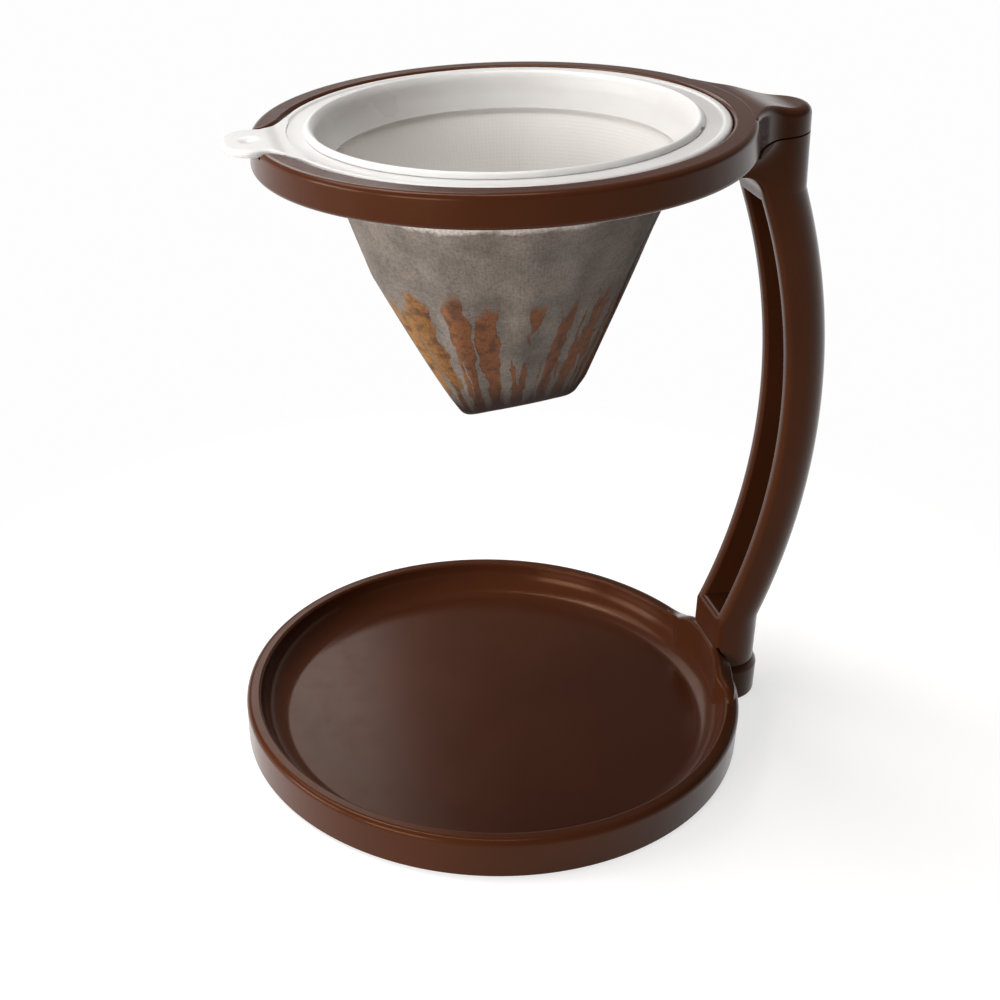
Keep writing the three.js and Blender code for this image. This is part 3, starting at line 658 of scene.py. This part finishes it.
def footPad(number, x, y):
    v = trayValues
    radius, top = v["padRadius"], v["clearance"] + v["padRecess"] - 0.1
    pad = spun([(0, 0), (radius - 1.2, 0), (radius, 0.25, 0.3), (radius, top, 0.2), (0, top)], steps=64)
    place = standPlace @ Matrix.Translation((x, y, 0))
    finishPiece(pieceFrom(pad, f"rubber_pad_{number}"), place, "stand",
                [f"foot_pad_{number}"], softRubber)


# Ring with its bracket
def ringShell():
    v = ringValues
    foot = v["radius"] + v["draft"]
    shelfTop = -v["shelfDepth"]
    shelfRadius = seatRadius - v["shelfWidth"]
    shelfFoot = shelfTop - v["shelfThickness"]
    return spun([
        (foot - v["wall"], -v["height"], 0.4), (foot, -v["height"], v["footRound"]),
        (v["radius"], 0, v["edge"]), (seatRadius + v["seatStep"], 0, 0.3), (seatRadius, -v["seatStep"], 0.25),
        (seatRadius, shelfTop, 0.15), (shelfRadius, shelfTop, 0.3), (shelfRadius, shelfFoot, 0.3),
        (v["radius"] - v["wall"], shelfFoot, 0.6),
    ], steps=320)


def bracketTop(x):
    # just under the ring's own top, so that the two faces don't fall together
    v = bracketValues
    return -v["under"] - v["drop"] * eased((x - ringValues["radius"] - v["level"]) / v["fall"])


def bracket():
    v = bracketValues
    front = headFront + v["setback"]

    def section(inset):
        return dSection(front, bracketEnd - inset, v["halfWidth"] - inset, 0.4, v["flare"])

    sections = [level(section(0.3), -v["depth"]), level(section(0), -v["depth"] + 0.3)]
    for inset, rise in arc(v["round"], -v["round"], v["round"], 180, 90, 8):
        sections.append([(x, y, bracketTop(x) + rise) for x, y in section(inset)])
    return lofted(sections, rungs=True)


def supportRing():
    v = tabValues
    ring = pieceFrom(ringShell(), "carrier_ring")
    combine(ring, "UNION", bracket())
    hole = (-bracketValues["depth"] - 1, headTop + headValues["tenonHeight"] + 0.3)
    combine(ring, "DIFFERENCE", lofted([level(headTenonSection(0.3), z) for z in hole]))
    # slot for the tab, a little wider than it all along, with soft lips
    sections = []
    for x in v["slotAt"]:
        half = tabHalfWidthAt(max(x, v["head"])) + v["clearance"]
        lips = arc(half + v["lip"], -v["lip"], v["lip"], 180, 90, 6)
        sections.append([(x, -half, v["slotFloor"])] + [(x, -y, z) for y, z in lips]
                        + [(x, -half - v["lip"], 2), (x, half + v["lip"], 2)]
                        + [(x, y, z) for y, z in reversed(lips)] + [(x, half, v["slotFloor"])])
    combine(ring, "DIFFERENCE", lofted(sections))
    finishPiece(ring, deckPlace, "stand", ["support_ring"], brownAbs, flat=liftAxis)


# Holder: flange with its tab, and the ring that clamps the cloth
flangeValues = {
    "thickness": 2.3, "drop": 0.2, "beadWidth": 2.1, "beadHeight": 0.4, "collarOuter": 46.2,
    "collarWall": 2.6, "collarDepth": 8.6, "taper": 4,
}
tabValues = {
    "tip": -62.1, "head": -56, "halfWidth": 9.2, "neck": 8.9, "neckX": -53, "flare": 0.62, "flarePower": 1.45,
    "thickness": 1.6, "rise": 0.3, "riseFrom": -52.5, "riseLength": 3.5, "root": -46,
    "dimple": -56.2, "dimpleLength": 2.6, "dimpleWidth": 3.6, "dimpleDepth": 0.5,
    "clearance": 0.7, "lip": 1.3, "slotFloor": -1.6,
    "slotAt": (-62, -58, -56, -54, -53, -52, -51, -50, -49, -48, -47, -45.6),
}
clampValues = {
    "liningDepth": 7.6, "liningOuter": 42.4, "liningWall": 1.1, "footWall": 0.5, "lipWidth": 0.7,
    "lipHeight": 1.5, "catchWidth": 2.6, "catchDepth": 0.6, "catchAzimuth": -31,
}


def narrowing(depth):
    # how much the clamp has narrowed at a depth under the ring's top face
    return flangeValues["taper"] * depth / flangeValues["collarDepth"]


def tabHalfWidthAt(x):
    v = tabValues
    if x < v["head"]:
        return v["halfWidth"] * math.sqrt(max(1 - ((x - v["head"]) / (v["tip"] - v["head"])) ** 2, 0))
    if x < v["neckX"]:
        return blend(v["halfWidth"], v["neck"], eased((x - v["head"]) / (v["neckX"] - v["head"])))
    return v["neck"] + v["flare"] * (x - v["neckX"]) ** v["flarePower"]


def tab():
    # sections across the tab, each a slab with full round edges
    v, f = tabValues, flangeValues
    top = -f["drop"]
    places = [blend(v["tip"] + 0.02, v["head"], 1 - math.cos(math.pi / 2 * i / 18)) for i in range(19)]
    places += [blend(v["head"], v["root"], i / 22) for i in range(1, 23)]
    across = 28
    sections = []
    for x in places:
        inTip = min((x - v["tip"]) / (v["thickness"] / 2), 1)
        radius = v["thickness"] / 2 * math.sqrt(1 - (1 - inTip) ** 2)
        half = max(tabHalfWidthAt(x), radius + 0.05)
        height = blend(v["rise"], top, eased((x - v["riseFrom"]) / v["riseLength"]))
        middle = height - v["thickness"] / 2
        points = []
        for y, z in arc(half - radius, middle, radius, -90, 90, 10):
            points.append((x, y, z))
        for i in range(1, across):
            y = blend(half - radius, radius - half, i / across)
            reach = math.sqrt(((x - v["dimple"]) / v["dimpleLength"]) ** 2 + (y / v["dimpleWidth"]) ** 2)
            points.append((x, y, middle + radius - v["dimpleDepth"] * (1 - eased(reach * 1.1 - 0.1))))
        for y, z in arc(radius - half, middle, radius, 90, 270, 10):
            points.append((x, y, z))
        for i in range(1, across):
            points.append((x, blend(radius - half, half - radius, i / across), middle - radius))
        sections.append(points)
    return lofted(sections)


def filterFlange():
    v = flangeValues
    top, foot = -v["drop"], -v["drop"] - v["thickness"]
    face = top - v["beadHeight"]
    inner = v["collarOuter"] - v["collarWall"]
    bead = flangeRadius - v["beadWidth"]
    flange = pieceFrom(tab(), "holder_flange")
    combine(flange, "DIFFERENCE", drum(bead, -9, 9, segments=320))
    combine(flange, "UNION", spun([
        (inner - v["taper"], -v["collarDepth"], 0.3), (v["collarOuter"] - v["taper"], -v["collarDepth"], 0.5),
        (v["collarOuter"] - narrowing(-foot), foot, 0.3), (flangeRadius, foot, 0.4),
        (flangeRadius, top, 0.9), (bead + 0.5, top, 0.35), (bead, face, 0.5),
        (inner - narrowing(-face), face, 0.2),
    ], steps=320))
    finishPiece(flange, deckPlace, "holder", ["filter_flange"], whitePp)


def retainingRing():
    v = clampValues
    face = -flangeValues["drop"] - flangeValues["beadHeight"] + 0.1
    inner = v["liningOuter"] - v["liningWall"]
    lipOuter = flangeValues["collarOuter"] - flangeValues["collarWall"] + v["lipWidth"]
    top = face + v["lipHeight"] - 0.1
    ring = pieceFrom(spun([
        (v["liningOuter"] - v["footWall"] - narrowing(v["liningDepth"]), -v["liningDepth"], 0.15),
        (v["liningOuter"] - narrowing(v["liningDepth"]), -v["liningDepth"], 0.15),
        (v["liningOuter"] - narrowing(-face), face), (lipOuter, face, 0.15),
        (lipOuter - 0.25, face + 0.6, 0.45),
        (lipOuter - 1.1, top, 0.6), (inner + 0.6, top - 1.1, 1.0), (inner - 0.6, -3.6, 1.0),
    ], steps=320), "clamping_ring")
    notch = block((lipOuter - v["catchDepth"], -v["catchWidth"] / 2, face - 1),
                  (lipOuter + 1, v["catchWidth"] / 2, face + v["catchDepth"]))
    combine(ring, "DIFFERENCE", turned(notch, v["catchAzimuth"]))
    finishPiece(ring, deckPlace, "insert", ["retaining_ring"], whitePp)


baseTray()
supportArm()
supportRing()
filterFlange()
retainingRing()
armScrew(1, -screwValues["spread"])
armScrew(2, screwValues["spread"])
for number, (x, y) in enumerate(padPlaces(), 1):
    footPad(number, x, y)
print("hard pieces made")


# Cloth filter: one bag of cotton flannel, sewn down its side towards the arm and along its bottom edge.
# It hangs from the clamp, so its shape is worked out row by row and not simulated.
clothValues = {
    "top": 1.2, "clampDepth": 7.9, "edge": 70.3, "clampRadius": 43.3, "wall": 0.6, "hem": 1.6,
    "edgeHalfLength": 15.3, "edgeHalfWidth": 1.3, "spread": 1.1, "offset": 2.1, "turn": 8.5,
    "foldDepth": 0.35, "folds": 9, "seamWidth": 3.4, "seamHeight": 0.7, "seamTop": -35, "seamBottom": -7,
    "bulge": 1.7, "bulgeAt": 0.4, "bulgeAzimuth": 172, "cornerLift": 1.7, "girth": 200,
    "columns": 288, "rows": 84,
}
cottonValues = {
    "wet": "#92877d", "wetDark": "#736960", "dry": "#d6cdc4", "inside": "#e6e2de", "insideStain": "#b39a7c",
    "tan": "#a8763a", "rust": "#8c5228", "rustDark": "#4a2813", "coffee": "#2e190f", "roughness": 0.92,
    "threadSpacing": 0.8, "threadHeight": 0.06, "waveBand": 0.314,  # a wave texture's band at scale 1
    "fuzzSize": 0.7, "mottleSize": 9, "blotSize": 3,
    # shares of the way round and down the bag, and the runs' number, length and wavering
    "dryDown": 0.065, "rustFrom": 0.55, "pooledFrom": 0.915, "runStart": 0.26, "runStartSpread": 0.34,
    "runsAround": 44, "runLength": 2.2, "runShare": 0.47, "runCount": 19, "runRipple": 0.075,
    "runCover": 0.92, "waver": (55, 14, 1), "ragged": (34, 1, 1),
}


def clothPoint(column, t, inset):
    # a point of the bag, t from the foot of the clamp to the bottom edge
    v = clothValues
    angle = 2 * math.pi * (column + 0.5) / v["columns"]
    clamped = v["clampRadius"] - narrowing(v["clampDepth"]) - inset
    halfLength = blend(clamped, v["edgeHalfLength"] - inset, t ** v["spread"])
    halfWidth = blend(clamped, v["edgeHalfWidth"] - inset, t)
    place = Vector((halfLength * math.cos(angle), halfWidth * math.sin(angle)))
    outward = Vector((halfWidth * math.cos(angle), halfLength * math.sin(angle))).normalized()
    # folds: three waves round the bag that never fall together, deepest half way down, and on the
    # whole drawn in
    loose = math.sin(math.pi * min(t, 1)) ** 1.3
    fold = sum(math.sin(v["folds"] * k * angle + 2.1 * k * k + 1.6 * t) / k for k in (1, 1.45, 2.2)) - 0.6
    # the seam: a flat ridge with two ends that fade out
    seam = math.degrees(angle + math.pi) % 360 - 180 - blend(v["seamTop"], v["seamBottom"], t)
    stretch = math.hypot(halfLength * math.sin(angle), halfWidth * math.cos(angle))
    across = math.radians(seam) * stretch
    ridge = v["seamHeight"] * math.exp(-(across / v["seamWidth"] * 2) ** 4)
    ridge *= eased(t * 12) * eased((1 - t) * 12)
    # the cloth bellies out on the side away from the arm, and is creased where it does
    swell = t / v["bulgeAt"] if t < v["bulgeAt"] else (1 - t) / (1 - v["bulgeAt"])
    facing = max(math.cos(angle - math.radians(v["bulgeAzimuth"])), 0) ** 3
    place += outward * (v["foldDepth"] * loose * fold + ridge + v["bulge"] * swell ** 1.4 * facing)
    place.rotate(Matrix.Rotation(math.radians(v["turn"] * t), 2))
    return place.x + v["offset"] * t * t, place.y, across


def clothRings():
    # rows from the bottom edge up the outside, over the top and down the inside: (t, inset, depth)
    v = clothValues
    foot, fall = v["clampDepth"], v["edge"] - v["clampDepth"]
    down = [i / v["rows"] for i in range(v["rows"] + 1)]
    rings = [(t, 0, foot + fall * t) for t in reversed(down)]
    rings += [(0, 0, blend(foot, v["top"], (i + 1) / 6)) for i in range(6)]
    rings += [(0, v["wall"], blend(v["top"], foot, i / 6)) for i in range(7)]
    rings += [(t, v["wall"], foot + fall * t) for t in down[1:] if fall * (1 - t) > v["hem"]]
    return rings


def filterCloth():
    v = clothValues
    bm = bmesh.new()
    around, down, inner, seam = (bm.verts.layers.float.new(name)
                                 for name in ("around", "down", "inner", "seam"))
    loops = []
    rings = clothRings()
    for number, (t, inset, depth) in enumerate(rings):
        points, seams = [], []
        clampDraft = narrowing(v["clampDepth"]) - narrowing(min(depth, v["clampDepth"]))
        for column in range(v["columns"]):
            x, y, across = clothPoint(column, t, inset)
            seams.append(across)
            if clampDraft:
                reach = math.hypot(x, y)
                x, y = x * (1 + clampDraft / reach), y * (1 + clampDraft / reach)
            # the ends of the bottom edge are drawn up
            end = abs(math.cos(2 * math.pi * (column + 0.5) / v["columns"])) ** 12
            points.append((x, y, -depth + v["cornerLift"] * t ** 10 * end))
        if number in (0, len(rings) - 1):
            # the bottom closes on its own middle line
            half = v["columns"] // 2
            points = [tuple((a + b) / 2 for a, b in zip(points[c], points[v["columns"] - 1 - c]))
                      for c in range(half)]
            points += points[::-1]
        verts = [bm.verts.new(point) for point in points]
        for column, vert in enumerate(verts):
            vert[around] = (column + 0.5) / v["columns"]
            vert[down] = t
            vert[inner] = 1.0 if inset else 0.0
            vert[seam] = seams[column]
        loops.append(verts)
    for low, high in zip(loops, loops[1:]):
        for column in range(v["columns"]):
            nextColumn = (column + 1) % v["columns"]
            bm.faces.new((low[column], low[nextColumn], high[nextColumn], high[column]))
    bmesh.ops.remove_doubles(bm, verts=bm.verts, dist=1e-4)
    bmesh.ops.recalc_face_normals(bm, faces=bm.faces)
    # drips: share of the way round and down. threads: the same in metres along the cloth
    drips = bm.loops.layers.uv.new("drips")
    threads = bm.loops.layers.uv.new("threads")
    for face in bm.faces:
        wraps = max(loop.vert[around] for loop in face.loops) > 0.75
        for loop in face.loops:
            share = loop.vert[around] + (1 if wraps and loop.vert[around] < 0.25 else 0)
            loop[drips].uv = (share, loop.vert[down])
            loop[threads].uv = (share * v["girth"] * mm, -loop.vert.co.z * mm)
    bag = pieceFrom(bm, "cotton_filter_bag")
    finishPiece(bag, deckPlace, "insert", ["filter_cloth"], cottonFlannel, 60)


def cottonMaterial():
    # cotton flannel, woven and brushed: matt, fuzzy, damp and darkened outside, with coffee dried in runs
    v = cottonValues
    material, add, place = newMaterial("cottonFlannelWovenBrushed")
    drips, threads = (add("UVMap", {"uv_map": name}) for name in ("drips", "threads"))
    inner, seam = (add("Attribute", {"attribute_name": name}).outputs["Fac"] for name in ("inner", "seam"))
    parts = add("SeparateXYZ", {"Vector": drips})
    around, down = parts.outputs["X"], parts.outputs["Y"]
    # runs: noise drawn long down the cloth, wavering sideways, from a ragged line down to the bottom
    waver = add("Mapping", {"Vector": drips, "Scale": v["waver"]})
    wobble = add("TexNoise", {"Vector": waver, "Scale": 1.0, "Detail": 3.0})
    sideways = add("Math", {"operation": "MULTIPLY_ADD", 0: around, 1: v["runsAround"], 2: wobble})
    along = add("Math", {"operation": "MULTIPLY", 0: down, 1: v["runLength"]})
    lie = add("CombineXYZ", {"X": sideways, "Y": along})
    noise = add("TexNoise", {"Vector": lie, "Scale": 1.0, "Detail": 2.0, "Distortion": 0.5})
    phase = add("Math", {"operation": "MULTIPLY", 0: sideways,
                         1: 2 * math.pi * v["runCount"] / v["runsAround"]})
    ripple = add("Math", {"operation": "SINE", 0: phase})
    runs = add("Math", {"operation": "MULTIPLY_ADD", 0: ripple, 1: v["runRipple"], 2: noise})
    ragged = add("Mapping", {"Vector": drips, "Scale": v["ragged"]})
    startNoise = add("TexNoise", {"Vector": ragged, "Scale": 1.0, "Detail": 2.0})
    start = add("Math", {"operation": "MULTIPLY_ADD", 0: startNoise, 1: v["runStartSpread"],
                         2: v["runStart"]})
    past = add("Math", {"operation": "SUBTRACT", 0: down, 1: start})
    begun = add("MapRange", {"Value": past, "From Max": 0.06, "interpolation_type": "SMOOTHSTEP"})
    thick = add("MapRange", {"Value": runs, "From Min": v["runShare"], "From Max": v["runShare"] + 0.03,
                             "interpolation_type": "SMOOTHSTEP"})
    run = add("Math", {"operation": "MULTIPLY", 0: thick, 1: begun})
    run = add("Math", {"operation": "MULTIPLY", 0: run, 1: v["runCover"]})
    # the runs are tan away from the arm and rust towards it, darker at their edges and in blots
    rusty = add("MapRange", {"Value": around, "From Min": v["rustFrom"], "From Max": v["rustFrom"] + 0.09})
    edge = add("MapRange", {"Value": runs, "From Min": v["runShare"] + 0.06,
                            "From Max": v["runShare"] + 0.01, "To Max": 0.5})
    blots = add("TexNoise", {"Vector": place, "Scale": fields(v["blotSize"]), "Detail": 4.0})
    blot = add("MapRange", {"Value": blots, "From Min": 0.48, "From Max": 0.68, "To Max": 0.75})
    runColor = v["tan"]
    for share, over in ((rusty, v["rust"]), (edge, v["rustDark"]), (blot, v["rustDark"])):
        runColor = add("Mix", {"data_type": "RGBA", 0: share, 6: runColor, 7: over}).outputs[2]
    # damp mottled cloth, with a dry pale band under the ring
    mottle = add("TexNoise", {"Vector": place, "Scale": fields(v["mottleSize"]), "Detail": 5.0,
                              "Roughness": 0.65})
    cloth = add("ValToRGB", {"Fac": mottle, "stops": [(0.35, v["wetDark"]), (0.65, v["wet"])]})
    dryEdge = add("Math", {"operation": "MULTIPLY_ADD", 0: mottle, 1: -0.1, 2: down})
    dry = add("MapRange", {"Value": dryEdge, "From Min": v["dryDown"], "From Max": v["dryDown"] - 0.02})
    # coffee: gathered along the bottom edge, in the seam's two rows of stitches, and as grit in the nap
    pooling = add("Math", {"operation": "MULTIPLY_ADD", 0: runs, 1: 0.14, 2: down})
    pooled = add("MapRange", {"Value": pooling, "From Min": v["pooledFrom"],
                              "From Max": v["pooledFrom"] + 0.11, "To Max": 0.97})
    offSeam = add("Math", {"operation": "ABSOLUTE", 0: seam})
    pastStitch = add("Math", {"operation": "SUBTRACT", 0: offSeam, 1: clothValues["seamWidth"] / 2})
    fromStitch = add("Math", {"operation": "ABSOLUTE", 0: pastStitch})
    stitch = add("MapRange", {"Value": fromStitch, "From Min": 0.4, "From Max": 0.1, "To Max": 0.6})
    fuzz = add("TexNoise", {"Vector": place, "Scale": fields(v["fuzzSize"]), "Detail": 3.0,
                            "Roughness": 0.7})
    grit = add("MapRange", {"Value": fuzz, "From Min": 0.42, "From Max": 0.75, "To Max": 0.5})
    # inside: clean at the top, browned lower down
    deep = add("Math", {"operation": "MULTIPLY_ADD", 0: mottle, 1: 0.3, 2: down})
    stained = add("MapRange", {"Value": deep, "From Min": 0.45, "From Max": 0.95})
    inside = add("Mix", {"data_type": "RGBA", 0: stained, 6: v["inside"], 7: v["insideStain"]}).outputs[2]
    color = cloth
    for share, over in ((dry, v["dry"]), (run, runColor), (pooled, v["coffee"]), (stitch, v["coffee"]),
                        (grit, v["coffee"]), (inner, inside)):
        color = add("Mix", {"data_type": "RGBA", 0: share, 6: color, 7: over}).outputs[2]
    # threads, drawn a little coarse so that they show, under a brushed nap
    scale = v["waveBand"] * fields(v["threadSpacing"])
    warp, weft = (add("TexWave", {"Vector": threads, "Scale": scale, "Distortion": 1.5,
                                  "bands_direction": way}).outputs["Fac"] for way in "XY")
    weave = add("Math", {"operation": "MULTIPLY", 0: warp, 1: weft})
    nap = add("Math", {"operation": "MULTIPLY_ADD", 0: weave, 1: 0.6, 2: fuzz})
    bump = add("Bump", {"Height": nap, "Strength": 0.8, "Distance": v["threadHeight"] * mm})
    shader = add("BsdfPrincipled", {"Base Color": color, "Normal": bump, "Roughness": v["roughness"],
                                    "Sheen Weight": 0.15, "Sheen Roughness": 0.5,
                                    "Specular IOR Level": 0.25})
    add("OutputMaterial", {"Surface": shader})
    return material


cottonFlannel = cottonMaterial()
filterCloth()
print("cloth made")


# Studio: pale floor, soft lamps and the camera
studioValues = {
    "lens": 54.72, "cameraFromTray": (-87.07, -324.97, 243.77), "pitch": 62.08, "heading": -15.06,
    "roll": 1.63, "fill": 0.05, "background": 0.985, "skyFadeLow": 0.02, "skyFadeHigh": 0.28, "overhead": 0.2,
    "floorSize": 8.0, "floorPaint": "#c4c1bf", "floorGlow": 0.68, "nearFloor": 0.1, "farFloor": 0.21,
    # name, place, what it points at, size and watts
    "lamps": (
        ("keyLeft", (-0.41, 0.225, 0.8), (-0.02, 0, 0.08), (0.4, 0.4), 2.2),
        ("lowLeft", (-0.87, 0, 0.23), (-0.02, 0, 0.08), (0.4, 0.3), 3.0),
        ("lowFront", (-0.68, -0.52, 0.23), (-0.02, 0, 0.08), (0.4, 0.3), 4.4),
        ("topStrip", (-0.17, 0.08, 0.95), (-0.05, 0, 0.1), (0.16, 0.6), 4.0),
        ("rimBack", (-0.1, 0.72, 0.58), (-0.045, -0.03, 0.03), (0.4, 0.3), 1.1),
    ),
}


def seenDirectly(add):
    # 1 for rays from the camera, a mirror or clear stuff, else 0
    path = add("LightPath").outputs
    seen = add("Math", {"operation": "MAXIMUM", 0: path["Is Camera Ray"], 1: path["Is Glossy Ray"]})
    return add("Math", {"operation": "MAXIMUM", 0: seen, 1: path["Is Transmission Ray"]})


def studioWorld():
    v = studioValues
    world = bpy.data.worlds.new("studio")
    bpy.context.scene.world = world
    world.use_nodes = True
    world.node_tree.nodes.clear()
    add = partial(addNode, world.node_tree)
    # white round the horizon, dimmer overhead, as in a room with a pale backdrop
    place = add("TexCoord").outputs["Generated"]
    height = add("SeparateXYZ", {"Vector": place}).outputs["Z"]
    shown = add("MapRange", {"Value": height, "From Min": v["skyFadeLow"], "From Max": v["skyFadeHigh"],
                             "To Min": 1.0, "To Max": v["overhead"], "interpolation_type": "SMOOTHSTEP"})
    strength = add("MapRange", {"Value": seenDirectly(add), "To Min": v["fill"], "To Max": shown})
    background = add("Background", {"Color": (1, 1, 1, 1), "Strength": strength})
    add("OutputWorld", {"Surface": background})


def studioFloor():
    # pale paint that keeps the shadow near the object and turns to the background's white farther out
    v = studioValues
    bm = bmesh.new()
    bmesh.ops.create_grid(bm, x_segments=1, y_segments=1, size=v["floorSize"] / 2)
    floor = pieceFrom(bm, "floor")
    material, add, place = newMaterial("paleFloorPaint")
    seen = seenDirectly(add)
    reach = add("VectorMath", {"operation": "LENGTH", 0: place}).outputs["Value"]
    away = add("MapRange", {"Value": reach, "From Min": v["nearFloor"], "From Max": v["farFloor"],
                            "interpolation_type": "SMOOTHSTEP"})
    paint = add("BsdfDiffuse", {"Color": v["floorPaint"]})
    lift = add("Math", {"operation": "MULTIPLY", 0: seen, 1: v["floorGlow"]})
    glow = add("Emission", {"Color": (1, 1, 1, 1), "Strength": lift})
    near = add("AddShader", {0: paint, 1: glow})
    white = add("Emission", {"Color": [v["background"]] * 3 + [1], "Strength": 1.0})
    share = add("Math", {"operation": "MULTIPLY", 0: seen, 1: away})
    add("OutputMaterial", {"Surface": add("MixShader", {0: share, 1: near, 2: white})})
    floor.data.materials.append(material)


def studioLamp(name, place, target, size, power):
    data = bpy.data.lights.new(name, "AREA")
    data.shape = "RECTANGLE"
    data.size, data.size_y = size
    data.energy = power
    lamp = bpy.data.objects.new(name, data)
    lamp.location = place
    lamp.rotation_euler = (Vector(target) - Vector(place)).to_track_quat("-Z", "Y").to_euler()
    bpy.context.scene.collection.objects.link(lamp)


def studioCamera():
    v = studioValues
    data = bpy.data.cameras.new("camera")
    data.sensor_width = 36
    data.lens = v["lens"]
    data.clip_start, data.clip_end = 0.01, 20
    camera = bpy.data.objects.new("camera", data)
    turn = (Matrix.Rotation(math.radians(v["heading"]), 4, "Z")
            @ Matrix.Rotation(math.radians(v["pitch"]), 4, "X")
            @ Matrix.Rotation(math.radians(v["roll"]), 4, "Z"))
    camera.matrix_world = Matrix.Translation(trayCentre + Vector(v["cameraFromTray"]) * mm) @ turn
    bpy.context.scene.collection.objects.link(camera)
    bpy.context.scene.camera = camera


studioWorld()
studioFloor()
for lamp in studioValues["lamps"]:
    studioLamp(*lamp)
studioCamera()
bpy.context.scene.view_settings.view_transform = "Standard"
print("studio made")
